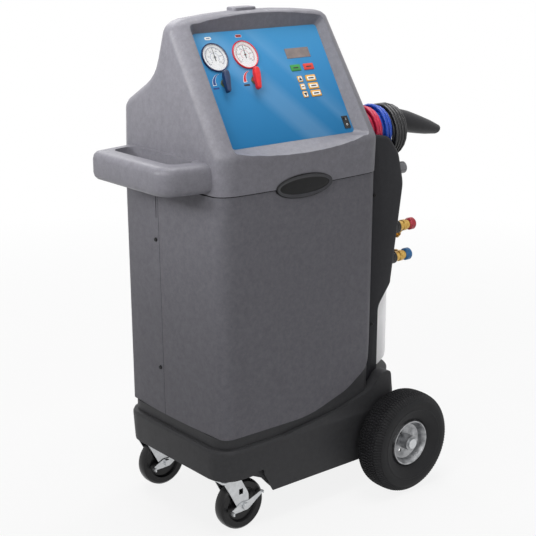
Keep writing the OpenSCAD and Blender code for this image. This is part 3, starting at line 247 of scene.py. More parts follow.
def panel_overlay(name):
    """Printed overlay that deepens from its top to its foot, with two faint straight bands across it."""
    finish = Finish(name, roughness=0.38, Specular_IOR_Level=0.22)
    low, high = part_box("control_panel")

    def across_panel(direction):
        return finish.mapped(finish.along(direction), low.dot(direction), high.dot(direction))

    ground = finish.ramp(across_panel(AXIS_Z), PANEL_TONES)
    strengths = [(at, (strength, strength, strength, 1)) for at, strength in PANEL_BANDS]
    bands = finish.ramp(across_panel(PANEL_SLANT), strengths)
    mix = finish.tree.nodes.new("ShaderNodeMixRGB")
    mix.inputs["Color2"].default_value = PANEL_BAND_TONE
    finish.tree.links.new(bands, mix.inputs["Fac"])
    finish.tree.links.new(ground, mix.inputs["Color1"])
    finish.paint(mix.outputs["Color"])
    finish.grain(scale=1800.0, depth=0.03 * MM, strength=0.3)
    return finish.material


# Finishes, and the solids that wear them

COVER_GRAY = moulded("cover_gray", tone(94, 93, 99), tone(111, 110, 116))
# The hood is the covers' plastic painted lighter: painted light for the stronger light that falls on it.
HOOD_GRAY_WITH_PAINTED_LIGHT = moulded("hood_gray_painted_light", tone(108, 107, 114), tone(125, 124, 131), roughness=0.42, shine=0.28)
SHELL_BLACK = moulded("shell_black", tone(29, 29, 33), tone(37, 37, 41), roughness=0.5)
# Near-black for the faces that look into the seams: painted shade.
SEAM_PAINTED_SHADE = moulded("seam_painted_shade", tone(14, 14, 16), tone(20, 20, 22), roughness=0.7)
BASE_BLACK = moulded("base_black", tone(54, 54, 56), tone(62, 62, 64), roughness=0.5)
HOOK_GRAY = moulded("hook_gray", tone(40, 40, 43), tone(50, 50, 52), roughness=0.42)
PANEL_BLUE = panel_overlay("panel_overlay")
RING_NAVY = smooth_plastic("ring_navy", tone(34, 38, 76), tone(46, 50, 90), roughness=0.25)
RING_RED = smooth_plastic("ring_red", tone(196, 40, 52), tone(214, 54, 64), roughness=0.25)
LENS = clear_lens("clear_lens")
DISPLAY = smooth_plastic("display_glass", tone(122, 112, 110), tone(138, 126, 122), roughness=0.2)
NEEDLE = printed("needle_paint", tone(22, 22, 24), tone(34, 34, 36))
BRASS = plated("brass", tone(176, 138, 66), tone(214, 178, 104), roughness=0.28)
LEVER_NAVY = smooth_plastic("lever_navy", tone(14, 36, 70), tone(22, 48, 88))
LEVER_RED = smooth_plastic("lever_red", tone(206, 28, 34), tone(226, 44, 48))
KEY_GREEN = smooth_plastic("key_green", tone(46, 134, 62), tone(60, 150, 72))
KEY_RED = smooth_plastic("key_red", tone(206, 58, 50), tone(222, 76, 64))
KEY_AMBER = smooth_plastic("key_amber", tone(226, 160, 44), tone(238, 178, 62))
SWITCH_BLACK = smooth_plastic("switch_black", tone(20, 20, 22), tone(30, 30, 32))
POST_BLACK = smooth_plastic("post_black", tone(36, 36, 38), tone(46, 46, 48), roughness=0.45)
PEG_GRAY = smooth_plastic("peg_gray", tone(118, 118, 122), tone(132, 132, 136), roughness=0.4)
KNOB_RED = smooth_plastic("knob_red", tone(168, 30, 48), tone(190, 44, 60))
KNOB_BLUE = smooth_plastic("knob_blue", tone(20, 92, 150), tone(34, 112, 170))
ZINC = plated("zinc", tone(188, 190, 192), tone(208, 210, 212), scale=90.0)
RIM_SILVER = plated("rim_silver", tone(122, 123, 125), tone(184, 185, 187), roughness=0.36, scale=60.0)
TYRE_BLACK = rubber("tyre_black", tone(25, 25, 27), tone(34, 34, 36), roughness=0.62, scale=40.0)
CASTER_BLACK = rubber("caster_black", tone(12, 12, 14), tone(20, 20, 22), roughness=0.3, shine=0.3)
TANK_GRAY = sprayed("tank_gray", tone(222, 222, 224), tone(230, 230, 232))
COMPRESSOR_BLACK = rubber("compressor_black", tone(26, 26, 28), tone(36, 36, 38), roughness=0.4)
CAST_METAL = plated("cast_metal", tone(150, 152, 156), tone(180, 182, 186), roughness=0.5)
FAN_BLACK = smooth_plastic("fan_black", tone(24, 24, 26), tone(34, 34, 36))
DRIER_BLUE = smooth_plastic("drier_blue", tone(40, 70, 130), tone(52, 84, 146))
BOARD_GREEN = smooth_plastic("board_green", tone(20, 84, 44), tone(30, 100, 54))
SCREW_BLACK = rubber("screw_black", tone(12, 12, 14), tone(20, 20, 22), roughness=0.45, shine=0.2)
CORD_BLACK = rubber("cord_black", tone(22, 22, 24), tone(32, 32, 34), roughness=0.3, shine=0.45)
HOSE_BLUE = rubber("hose_blue", tone(18, 60, 158), tone(32, 78, 182), roughness=0.34, shine=0.4)
HOSE_RED = rubber("hose_red", tone(176, 22, 58), tone(200, 38, 74), roughness=0.34, shine=0.4)
DIAL_WHITE = printed("dial_white", tone(226, 226, 226), tone(238, 238, 238))
INK_BLACK = printed("ink_black", tone(28, 28, 32), tone(44, 44, 48))
INK_WHITE = printed("ink_white", tone(232, 232, 228), tone(244, 244, 240))
INK_NAVY = printed("ink_navy", tone(28, 60, 118), tone(40, 74, 134))
INK_RED = printed("ink_red", tone(186, 30, 40), tone(204, 44, 52))
LABEL_RED = printed("label_red", tone(150, 26, 36), tone(168, 38, 46))
# Dark gray on the badge's glossy black bevel: painted highlight.
BADGE_RIM_PAINTED_HIGHLIGHT = rubber("badge_rim_painted_highlight", tone(56, 56, 60), tone(64, 64, 68), roughness=0.36, scale=60.0, shine=0.2)
BADGE_BLACK = rubber("badge_black", tone(10, 10, 12), tone(18, 18, 20), roughness=0.3, scale=60.0, shine=0.2)

NODE_FINISH = {
    COVER_GRAY: ["front_cover", "rear_cover"],
    HOOD_GRAY_WITH_PAINTED_LIGHT: ["top_hood"],
    SHELL_BLACK: ["side_shell"],
    BASE_BLACK: ["base_tray"],
    HOOK_GRAY: ["hose_hook"],
    PANEL_BLUE: ["control_panel"],
    RING_NAVY: ["low_gauge_case"],
    RING_RED: ["high_gauge_case"],
    LENS: ["clear_windows"],
    NEEDLE: ["low_gauge_needle", "high_gauge_needle"],
    BRASS: ["valve_manifold", "service_couplers"],
    LEVER_NAVY: ["low_valve_lever"],
    LEVER_RED: ["high_valve_lever"],
    KEY_GREEN: ["start_key"],
    KEY_RED: ["stop_key"],
    KEY_AMBER: [
        "up_key", "enter_key", "down_key",
        "upper_function_key", "middle_function_key", "lower_function_key",
    ],
    SWITCH_BLACK: ["switch_bezel", "power_rocker", "power_plug", "outlet_glands"],
    POST_BLACK: ["storage_posts"],
    KNOB_RED: ["high_coupler_knob", "liquid_valve_knob"],
    KNOB_BLUE: ["low_coupler_knob", "vapour_valve_knob"],
    ZINC: [
        "rear_axle", "caster_plates", "near_caster_fork", "far_caster_fork",
        "near_caster_brake", "far_caster_brake", "chassis_frame",
    ],
    RIM_SILVER: ["near_rim", "far_rim"],
    CASTER_BLACK: ["near_caster_wheel", "far_caster_wheel"],
    TANK_GRAY: ["recovery_tank"],
    COMPRESSOR_BLACK: ["compressor"],
    CAST_METAL: ["vacuum_pump", "condenser"],
    FAN_BLACK: ["cooling_fan"],
    DRIER_BLUE: ["filter_drier"],
    BOARD_GREEN: ["circuit_board"],
    SCREW_BLACK: ["cover_screws"],
}


# Mesh helpers

SMOOTH_ANGLE = math.radians(32)
WELD_GAP = 0.02 * MM
BEFORE_FRONT_Y = -1.0


def middle(name):
    """Middle of a solid's box."""
    low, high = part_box(name)
    return (low + high) / 2


def tree_of(name):
    """A tree for casting rays onto a solid."""
    mesh = nodes[name].data
    return BVHTree.FromPolygons([v.co for v in mesh.vertices], [p.vertices for p in mesh.polygons])


def front_hit(tree, x, z):
    """Where a ray from before the cart meets a solid's front, or nothing."""
    return tree.ray_cast(Vector((x, BEFORE_FRONT_Y, z)), AXIS_Y)[0]


def split_edges(obj):
    """Keeps the edges sharp where faces turn by more than the smooth angle."""
    split = obj.modifiers.new("split", "EDGE_SPLIT")
    split.split_angle = SMOOTH_ANGLE


def link_mesh(name, bm, materials, body=CART):
    bmesh.ops.recalc_face_normals(bm, faces=bm.faces)
    mesh = bpy.data.meshes.new(name)
    bm.to_mesh(mesh)
    bm.free()
    for material in materials:
        mesh.materials.append(material)
    obj = bpy.data.objects.new(name, mesh)
    scene.collection.objects.link(obj)
    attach(obj, body)
    return obj


def bridge(bm, low, high, smooth=True):
    """Faces between two closed loops that have as many points."""
    faces = []
    for i in range(len(low)):
        j = (i + 1) % len(low)
        face = bm.faces.new((low[i], low[j], high[j], high[i]))
        face.smooth = smooth
        faces.append(face)
    return faces


def cap(bm, first, last):
    """Flat faces on the first and the last loop of a shape."""
    return [bm.faces.new(first[::-1]), bm.faces.new(last)]


def turned_loops(bm, origin, axis, across, profile, steps):
    """Loops of a turned shape; its profile is distance along the level axis and radius, in millimetres."""
    loops = []
    for along, radius in profile:
        loop = []
        for k in range(steps):
            a = math.tau * k / steps
            spoke = across * math.cos(a) + AXIS_Z * math.sin(a)
            loop.append(bm.verts.new(origin + axis * (along * MM) + spoke * (radius * MM)))
        loops.append(loop)
    return loops


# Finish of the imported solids

PEG_FOOT_Z = 0.74
SEAM_DEEP = 1.6 * MM
SEAM_FACING = 0.35


def dress(name, material):
    """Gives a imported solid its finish, and smooth shading between its sharp edges."""
    obj = nodes[name]
    obj.data.materials.clear()
    obj.data.materials.append(material)
    obj.data.shade_smooth()
    weld = obj.modifiers.new("weld", "WELD")
    weld.merge_threshold = WELD_GAP
    split_edges(obj)


def paint_faces(name, material, chosen):
    """Gives the chosen faces of a dressed solid a second finish."""
    mesh = nodes[name].data
    mesh.materials.append(material)
    for face in mesh.polygons:
        if chosen(face):
            face.material_index = 1


def paint_display():
    """The display window's faces take the display's finish; the gauge lenses stay clear."""
    edge = (middle("high_gauge_case").x + middle("start_key").x) / 2
    paint_faces("clear_windows", DISPLAY, lambda face: face.center.x > edge)


def paint_peg():
    """The peg above the coupler posts is lighter than they are."""
    paint_faces("storage_posts", PEG_GRAY, lambda face: face.center.z > PEG_FOOT_Z)


def shade_seams():
    """The narrow faces that look into the seams between covers and hood take a near-black finish: painted
    shade in the seams.
    """
    cover_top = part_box("front_cover")[1].z
    hood_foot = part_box("top_hood")[0].z
    parting_y = (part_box("front_cover")[1].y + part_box("rear_cover")[0].y) / 2

    def in_cover_seam(face):
        at_top = face.center.z > cover_top - SEAM_DEEP and face.normal.z > SEAM_FACING
        at_parting = abs(face.center.y - parting_y) < SEAM_DEEP and abs(face.normal.y) > SEAM_FACING
        return at_top or at_parting

    def in_hood_seam(face):
        return face.center.z < hood_foot + SEAM_DEEP and face.normal.z < -SEAM_FACING

    paint_faces("front_cover", SEAM_PAINTED_SHADE, in_cover_seam)
    paint_faces("rear_cover", SEAM_PAINTED_SHADE, in_cover_seam)
    paint_faces("top_hood", SEAM_PAINTED_SHADE, in_hood_seam)


# Hoses and mains lead; a span is where a coil starts along X, where it turns back and where it ends

HOSE_D = 0.010
HOSE_CORE_R = 0.0447
HOSE_COIL_Z = 0.899
HOSE_END_TURN = 228 / 360
LEAD_D = 0.009
LEAD_CORE_R = 0.050
LEAD_COIL_Z = HOSE_COIL_Z + HOSE_CORE_R - LEAD_CORE_R
LEAD_END_TURN = 251 / 360
HOOK_Y = -0.095
CLIMB_TURNS = 0.4
STEPS_PER_TURN = 24
ROUTE_STEPS = 4
CORD_ROUNDING = 5

RED_SPAN = (0.170, 0.190, 0.178)
RED_START = [
    (0.175, -0.045, 0.784), (0.175, -0.045, 0.810), (0.175, -0.045, 0.835), (0.175, -0.045, 0.862),
]
RED_END = [
    (0.178, -0.134, 0.855), (0.180, -0.120, 0.841), (0.184, -0.100, 0.820), (0.200, -0.080, 0.800),
    (0.230, -0.071, 0.791), (0.265, -0.069, 0.789), (0.300, -0.065, 0.786), (0.326, -0.054, 0.765),
    (0.340, -0.038, 0.725), (0.344, -0.022, 0.675), (0.344, -0.012, 0.625), (0.340, -0.014, 0.588),
    (0.331, -0.034, 0.566), (0.316, -0.062, 0.566), (0.300, -0.084, 0.584), (0.293, -0.098, 0.603),
    (0.292, -0.114, 0.622),
]
BLUE_SPAN = (0.203, 0.223, 0.210)
BLUE_START = [
    (0.207, -0.045, 0.784), (0.207, -0.045, 0.810), (0.207, -0.045, 0.835), (0.207, -0.045, 0.862),
]
BLUE_END = [
    (0.210, -0.134, 0.855), (0.211, -0.120, 0.841), (0.214, -0.104, 0.818), (0.226, -0.096, 0.795),
    (0.250, -0.092, 0.781), (0.285, -0.088, 0.775), (0.318, -0.079, 0.762), (0.341, -0.062, 0.728),
    (0.352, -0.042, 0.682), (0.358, -0.026, 0.632), (0.360, -0.017, 0.600), (0.357, -0.020, 0.572),
    (0.349, -0.036, 0.553), (0.337, -0.058, 0.548), (0.322, -0.081, 0.557), (0.308, -0.100, 0.571),
    (0.294, -0.114, 0.575),
]
LEAD_SPAN = (0.2355, 0.2715, 0.240)
LEAD_START = [
    (0.240, -0.045, 0.784), (0.240, -0.044, 0.808), (0.238, -0.042, 0.834), (0.236, -0.041, 0.858),
]
LEAD_END = [
    (0.240, -0.114, 0.831), (0.243, -0.094, 0.823), (0.252, -0.067, 0.818), (0.272, -0.035, 0.813),
    (0.300, 0.000, 0.805), (0.326, 0.030, 0.783), (0.342, 0.050, 0.748), (0.350, 0.060, 0.708),
    (0.352, 0.063, 0.680), (0.352, 0.064, 0.656),
]


def winding(span, diameter, core_r, end_turn, centre_z):
    """Points of a two-layer coil on the hook: out along X close to it, back over the first layer.

    Turns are counted from the coil's +Y side, going up and over.
    """
    first_x, last_x, end_x = span
    inner = core_r + diameter / 2
    out_turns = (last_x - first_x) / diameter
    climbed = out_turns + CLIMB_TURNS
    total = round(climbed + (last_x - end_x) / diameter - end_turn) + end_turn
    count = round(total * STEPS_PER_TURN)
    points = []
    for k in range(count + 1):
        turn = total * k / count
        if turn <= out_turns:
            x = first_x + diameter * turn
            radius = inner
        elif turn <= climbed:
            share = (turn - out_turns) / CLIMB_TURNS
            x = last_x
            radius = inner + diameter * share * share * (3 - 2 * share)
        else:
            x = last_x + (end_x - last_x) * (turn - climbed) / (total - climbed)
            radius = inner + diameter
        angle = math.tau * turn
        points.append(Vector((x, HOOK_Y + radius * math.cos(angle), centre_z + radius * math.sin(angle))))
    return points


def eased(route):
    """A smooth line through the points of a route."""
    points = [Vector(p) for p in route]
    last = len(points) - 1
    line = []
    for i in range(last):
        a, b, c, d = points[max(i - 1, 0)], points[i], points[i + 1], points[min(i + 2, last)]
        for k in range(ROUTE_STEPS):
            t = k / ROUTE_STEPS
            line.append(
                b + (c - a) * t / 2 + (2 * a - 5 * b + 4 * c - d) * t * t / 2
                + (3 * b - a - 3 * c + d) * t ** 3 / 2
            )
    return line + [points[last]]


def add_cord(name, start, coil, end, diameter, material):
    """One open curve through the start, the coil and the end of a cord."""
    line = eased(start + [tuple(coil[0])])[:-1] + coil[:-1] + eased(end)
    data = bpy.data.curves.new(name, "CURVE")
    data.dimensions = "3D"
    data.bevel_depth = diameter / 2
    data.bevel_resolution = CORD_ROUNDING
    data.use_fill_caps = True
    spline = data.splines.new("POLY")
    spline.points.add(len(line) - 1)
    for point, at in zip(spline.points, line):
        point.co = (*at, 1.0)
    data.materials.append(material)
    obj = bpy.data.objects.new(name, data)
    scene.collection.objects.link(obj)
    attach(obj, CART)
    return obj


def add_hose(colour, span, start, end, material):
    """A service hose from its outlet, round the hook and to its stored coupler."""
    coil = winding(span, HOSE_D, HOSE_CORE_R, HOSE_END_TURN, HOSE_COIL_Z)
    hose = add_cord(f"{colour}_hose", start, coil, end, HOSE_D, material)
    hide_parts(f"{colour}_hose_coil", f"{colour}_hose_lead")


def add_lead():
    """The mains lead from its gland, round the hook and to its hanging plug."""
    coil = winding(LEAD_SPAN, LEAD_D, LEAD_CORE_R, LEAD_END_TURN, LEAD_COIL_Z)
    lead = add_cord("mains_lead", LEAD_START, coil, LEAD_END, LEAD_D, CORD_BLACK)
    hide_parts("power_cord_coil", "power_cord_lead")


# Outlines of prints, as points to the right and up

PILL_STEPS = 6
DISC_STEPS = 72
CRESCENT_TAIL = 0.12


def polar(radius, degrees):
    """A point at that angle, anticlockwise from the right."""
    a = math.radians(degrees)
    return (radius * math.cos(a), radius * math.sin(a))


def shifted(outline, x, y):
    return [(px + x, py + y) for px, py in outline]


def disc(radius):
    return [polar(radius, 360 * k / DISC_STEPS) for k in range(DISC_STEPS)]


def pill(width, height, radius):
    """A rectangle with round corners."""
    points = []
    for quarter, (side, rise) in enumerate(((1, 1), (-1, 1), (-1, -1), (1, -1))):
        corner = [polar(radius, 90 * (quarter + k / PILL_STEPS)) for k in range(PILL_STEPS + 1)]
        points += shifted(corner, side * (width / 2 - radius), rise * (height / 2 - radius))
    return points


def band(radius, width, start, end, steps):
    """Part of a ring between two angles in degrees."""
    angles = [start + (end - start) * k / steps for k in range(steps + 1)]
    outer = [polar(radius + width / 2, angle) for angle in angles]
    inner = [polar(radius - width / 2, angle) for angle in reversed(angles)]
    return outer + inner


def crescent(radius, width, start, end, steps):
    """An arc that thickens from a thin tail at its start to its width at its end."""
    outer = []
    inner = []
    for k in range(steps + 1):
        angle = start + (end - start) * k / steps
        half = width * (CRESCENT_TAIL + (1 - CRESCENT_TAIL) * k / steps) / 2
        outer.append(polar(radius + half, angle))
        inner.append(polar(radius - half, angle))
    return outer + inner[::-1]


def tick(degrees, inner, outer, width):
    """A stroke along a radius."""
    x, y = polar(1, degrees)
    corners = ((inner, -width / 2), (outer, -width / 2), (outer, width / 2), (inner, width / 2))
    return [(along * x - across * y, along * y + across * x) for along, across in corners]


# Prints on the control panel, placed from the joints of needles and levers and from the keys' solids

OUT = Vector(joints["low_needle_turn"]["axis"]).normalized()
RIGHT = AXIS_X
UP = OUT.cross(RIGHT)
PANEL_FACE = max(OUT.dot(v.co) for v in nodes["control_panel"].data.vertices)
PRINT_T = 0.12 * MM
PRINT_SINK = 0.04 * MM


def at_height(point, height):
    """The point moved along the panel's normal to that height above its face."""
    return point + OUT * (PANEL_FACE + height - OUT.dot(point))


def front_of(name):
    """How far a solid stands out of the panel's face."""
    return max(OUT.dot(v.co) for v in nodes[name].data.vertices) - PANEL_FACE


def raise_outline(bm, outline, origin, up=UP, out=OUT):
    """Adds a thin print over an outline that is drawn right and up from origin."""
    low, high = [
        [bm.verts.new(origin + RIGHT * x + up * y + out * level) for x, y in outline]
        for level in (-PRINT_SINK, PRINT_T)
    ]
    cap(bm, low, high)
    bridge(bm, low, high, smooth=False)


def add_print(name, outlines, point, height, material, body=CART):
    bm = bmesh.new()
    origin = at_height(point, height)
    for outline in outlines:
        raise_outline(bm, outline, origin)
    link_mesh(name, bm, [material], body)


# Dials; a tick is its inner radius and width, and a ring its radius and steps

DIAL_R = 32.3 * MM
DIAL_HEIGHT = 0.8 * MM
DIAL_START = 225
DIAL_SWEEP = 270
DIAL_END = DIAL_START - DIAL_SWEEP
MAJOR_TICKS = 10
MINOR_TICKS = 30
MAJOR_TICK = (20.4 * MM, 1.1 * MM)
MINOR_TICK = (22.0 * MM, 0.6 * MM)
TICK_END_R = 24.0 * MM
SCALE_R = 24.2 * MM
SCALE_WIDTH = 0.5 * MM
SCALE_STEPS = 60
DIAL_RINGS = ((25.4 * MM, 60), (11.6 * MM, 40))
DIAL_RING_WIDTH = 0.8 * MM
NUMERAL_SIZE = 4.8 * MM
NUMERAL_R = 16.2 * MM
NUMERAL_EVERY = 2
NUMERAL_ROUNDING = 2


def numeral_mesh(text):
    """Mesh of plain numerals, flat on the ground and centred on the origin."""
    data = bpy.data.curves.new("numeral", "FONT")
    data.body = text
    data.size = NUMERAL_SIZE
    data.align_x = "CENTER"
    data.align_y = "CENTER"
    data.extrude = PRINT_T / 2
    data.resolution_u = NUMERAL_ROUNDING
    obj = bpy.data.objects.new("numeral", data)
    scene.collection.objects.link(obj)
    bpy.context.view_layer.update()
    mesh = bpy.data.meshes.new_from_object(obj.evaluated_get(bpy.context.evaluated_depsgraph_get()))
    bpy.data.objects.remove(obj)
    return mesh


def add_dial(side, ink, step):
    """White dial face, its scale rings and ticks, and plain numerals; step is the value of a major tick."""
    centre = Vector(joints[f"{side}_needle_turn"]["pos_m"])
    add_print(f"{side}_dial", [disc(DIAL_R)], centre, DIAL_HEIGHT, DIAL_WHITE)
    over = DIAL_HEIGHT + PRINT_T
    marks = []
    for k in range(MINOR_TICKS + 1):
        inner, width = MAJOR_TICK if k % (MINOR_TICKS // MAJOR_TICKS) == 0 else MINOR_TICK
        marks.append(tick(DIAL_START - DIAL_SWEEP * k / MINOR_TICKS, inner, TICK_END_R, width))
    marks.append(band(SCALE_R, SCALE_WIDTH, DIAL_END, DIAL_START, SCALE_STEPS))
    add_print(f"{side}_dial_scale", marks, centre, over, INK_BLACK)
    rings = [band(radius, DIAL_RING_WIDTH, DIAL_END, DIAL_START, steps) for radius, steps in DIAL_RINGS]
    add_print(f"{side}_dial_rings", rings, centre, over, ink)
    bm = bmesh.new()
    for k in range(0, MAJOR_TICKS + 1, NUMERAL_EVERY):
        x, y = polar(NUMERAL_R, DIAL_START - DIAL_SWEEP * k / MAJOR_TICKS)
        placed = Matrix((RIGHT, UP, OUT)).transposed().to_4x4()
        placed.translation = at_height(centre, over + PRINT_T / 2) + RIGHT * x + UP * y
        mesh = numeral_mesh(str(step * k))
        mesh.transform(placed)
        bm.from_mesh(mesh)
        bpy.data.meshes.remove(mesh)
    link_mesh(f"{side}_dial_numbers", bm, [INK_BLACK])


# Plain plates above the gauges, each with its width, height and corner radius in millimetres

LABEL_UP = 47.5 * MM
LABEL_PLATES = (("label_rim", 18.5, 7.4, 3.6), ("label", 17.0, 5.9, 2.9), ("label_bar", 10.0, 1.8, 0.8))


def add_gauge_labels():
    """Each plate is a layer of print on the one before."""
    for side, field, bar in (("low", INK_WHITE, INK_NAVY), ("high", LABEL_RED, INK_BLACK)):
        centre = Vector(joints[f"{side}_needle_turn"]["pos_m"]) + UP * LABEL_UP
        for layer, (plate, ink) in enumerate(zip(LABEL_PLATES, (INK_WHITE, field, bar))):
            label, width, height, radius = plate
            outline = pill(width * MM, height * MM, radius * MM)
            add_print(f"{side}_{label}", [outline], centre, layer * PRINT_T, ink)


# Crescents beside the levers, each with its width and its first and last angle, and a dark bar under them
# that is painted shadow

ARC_R = 25 * MM
ARC_STEPS = 28
ARC_EDGE = (10.5 * MM, 104, 185)
ARC_INK = (8 * MM, 106, 182)
LEVER_SHADOW_BAR = shifted(pill(16.5 * MM, 4.4 * MM, 1.4 * MM), -24 * MM, -9 * MM)


def add_lever_arcs():
    """The crescents show which way each lever turns."""
    for side, ink, bar in (("low", INK_NAVY, INK_NAVY), ("high", INK_RED, INK_BLACK)):
        centre = Vector(joints[f"{side}_lever_turn"]["pos_m"])
        add_print(f"{side}_lever_edge", [crescent(ARC_R, *ARC_EDGE, ARC_STEPS)], centre, 0.0, INK_WHITE)
        add_print(f"{side}_lever_arc", [crescent(ARC_R, *ARC_INK, ARC_STEPS)], centre, PRINT_T, ink)
        # A dark bar under each crescent: painted shadow, black by the red lever and navy by the navy one.
        add_print(f"{side}_lever_painted_shadow", [LEVER_SHADOW_BAR], centre, 0.0, bar)


# Signs on keys and rocker

ARROW_UP = [(-5.2 * MM, -3.8 * MM), (5.2 * MM, -3.8 * MM), (0.0, 5.4 * MM)]
ARROW_DOWN = [(x, -y) for x, y in reversed(ARROW_UP)]
ENTER_BAR = pill(8 * MM, 2.4 * MM, 1.0 * MM)
SMALL_FIELD = pill(10.6 * MM, 11 * MM, 1.6 * MM)
FUNCTION_FIELD = pill(24 * MM, 8.6 * MM, 1.2 * MM)
FUNCTION_BAR = pill(16 * MM, 3.0 * MM, 0.9 * MM)
START_STOP_BAR = pill(15 * MM, 3.0 * MM, 1.2 * MM)
ROCKER_BAR = pill(1.2 * MM, 5.0 * MM, 0.5 * MM)
ROCKER_RING = band(2.0 * MM, width=1.0 * MM, start=0, end=350, steps=30)
ROCKER_SIGN_UP = 6.6 * MM
RAY_START = 30 * MM


def print_on_key(name, label, outline, material, layer=0):
    """A print on a key's face, which rides on the key."""
    height = front_of(name) + layer * PRINT_T
    add_print(f"{name}_{label}", [outline], middle(name), height, material, f"{name}_button")


def add_key_prints():
    """White fields and plain signs on the keys."""
    for name in ("upper_function_key", "middle_function_key", "lower_function_key"):
        print_on_key(name, "field", FUNCTION_FIELD, INK_WHITE)
        print_on_key(name, "bar", FUNCTION_BAR, INK_BLACK, layer=1)
    for name, sign in (("up_key", ARROW_UP), ("enter_key", ENTER_BAR), ("down_key", ARROW_DOWN)):
        print_on_key(name, "field", SMALL_FIELD, INK_WHITE)
        print_on_key(name, "sign", sign, INK_BLACK, layer=1)
    for name in ("start_key", "stop_key"):
        print_on_key(name, "bar", START_STOP_BAR, INK_BLACK)


def add_rocker_signs():
    """A bar and an open ring, laid on the rocker's two slopes."""
    rocker = tree_of("power_rocker")
    for label, outline, up in (("on", ROCKER_BAR, ROCKER_SIGN_UP), ("off", ROCKER_RING, -ROCKER_SIGN_UP)):
        start = at_height(middle("power_rocker"), RAY_START) + UP * up
        spot, normal, _, _ = rocker.ray_cast(start, -OUT)
        bm = bmesh.new()
        raise_outline(bm, outline, spot, normal.cross(RIGHT).normalized(), normal)
        link_mesh(f"rocker_{label}_sign", bm, [INK_WHITE], "rocker")


# Bare oval badge across the front seam
# Its rings are inset and height in millimetres; up and down, the inset is a little less

BADGE_HALF_W = 84 * MM
BADGE_HALF_H = 28.5 * MM
BADGE_X = -0.100
BADGE_STEPS = 72
BADGE_LEVELS = 10
BADGE_RINGS = [
    (0.0, -3.0), (0.0, 1.6), (0.9, 2.8), (2.2, 3.2), (2.8, 3.1), (10.0, 1.6), (10.6, 1.0),
    (14.0, 1.5), (20.0, 1.9), (26.0, 2.0),
]
# The rings between which the bevel takes the painted highlight.
BADGE_HIGHLIGHT_RINGS = (3, 4)
BADGE_INSET_H = 0.98


def add_badge():
    """Domed plate with a raised rim, laid over the line that the front follows."""
    trees = [tree_of("front_cover"), tree_of("top_hood")]
    seam = (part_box("front_cover")[1].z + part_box("top_hood")[0].z) / 2
    foot_z = seam - BADGE_HALF_H
    tall = 2 * BADGE_HALF_H

    def front(x, z):
        hits = [front_hit(tree, x, z) for tree in trees]
        return min(hit.y for hit in hits if hit)

    def backing(x, z):
        """Straight line over the front from foot to top of the badge, clear of the seam's edges."""
        foot = front(x, foot_z)
        lean = front(x, foot_z + tall) - foot
        shares = [k / (BADGE_LEVELS - 1) for k in range(BADGE_LEVELS)]
        out = min(front(x, foot_z + tall * share) - foot - lean * share for share in shares)
        return foot + lean * (z - foot_z) / tall + min(out, 0)

    bm = bmesh.new()
    loops = []
    for inset, height in BADGE_RINGS:
        loop = []
        for k in range(BADGE_STEPS):
            a = math.tau * k / BADGE_STEPS
            x = BADGE_X + (BADGE_HALF_W - inset * MM) * math.cos(a)
            z = seam + (BADGE_HALF_H - inset * MM * BADGE_INSET_H) * math.sin(a)
            loop.append(bm.verts.new((x, backing(x, z) - height * MM, z)))
        loops.append(loop)
    # The rim's bevel takes the lighter gray of the painted highlight; the rest of the badge is black.
    for i, (low, high) in enumerate(zip(loops, loops[1:])):
        for face in bridge(bm, low, high):
            face.material_index = 0 if i in BADGE_HIGHLIGHT_RINGS else 1
    for face in cap(bm, loops[0], loops[-1]):
        face.material_index = 1
    link_mesh("front_badge", bm, [BADGE_RIM_PAINTED_HIGHLIGHT, BADGE_BLACK])


# Tyres with toothed shoulders and rows of small tread blocks
# Half of the section has radius and distance from the middle in millimetres, and a row
# A row of 0 is plain rubber, and rows 1 and 2 are cut into blocks that lie a step apart

TYRE_TEETH = 104
TOOTH_STEPS = (1, 1, 0, 0)
TOOTH_DEPTH = 3.0 * MM
TYRE_SECTION = [
    (60.3, 24.0, 0), (66.0, 30.0, 0), (74.0, 35.0, 0), (82.0, 38.2, 0), (88.0, 39.9, 0),
    (89.0, 40.9, 0), (92.0, 41.5, 0), (93.0, 40.8, 0), (100.0, 41.9, 0), (106.0, 41.8, 0),
    (111.0, 40.9, 0), (113.5, 39.9, 0), (115.0, 39.0, 1), (120.5, 35.2, 1), (124.6, 30.4, 1),
    (127.0, 26.4, 1), (124.0, 25.6, 0), (124.2, 24.4, 0), (127.7, 23.8, 2), (129.0, 18.4, 2),
    (125.6, 17.8, 0), (125.7, 16.4, 0), (129.3, 15.8, 1), (129.8, 9.6, 1), (126.2, 9.0, 0),
    (126.2, 7.6, 0), (129.9, 7.0, 2), (130.0, 1.4, 2), (126.4, 0.8, 0),
]


def add_tyre(side):
    centre = Vector(joints[f"{side}_wheel_roll"]["pos_m"])
    half = [(radius * MM, along * MM, row) for radius, along, row in TYRE_SECTION]
    section = half + [(radius, -along, row) for radius, along, row in reversed(half)]
    bm = bmesh.new()
    steps = TYRE_TEETH * len(TOOTH_STEPS)
    rings = []
    for k in range(steps):
        a = math.tau * k / steps
        ring = []
        for radius, along, row in section:
            cut = row and not TOOTH_STEPS[(k + row) % len(TOOTH_STEPS)]
            reach = radius - TOOTH_DEPTH if cut else radius
            ring.append(bm.verts.new(centre + Vector((reach * math.cos(a), along, reach * math.sin(a)))))
        rings.append(ring)
    for ring, following in zip(rings, rings[1:] + rings[:1]):
        bridge(bm, ring, following)
    tyre = link_mesh(f"{side}_toothed_tyre", bm, [TYRE_BLACK], f"{side}_wheel")
    split_edges(tyre)
    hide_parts(f"{side}_tyre")


# Screw heads on the front of the wheel-side shell

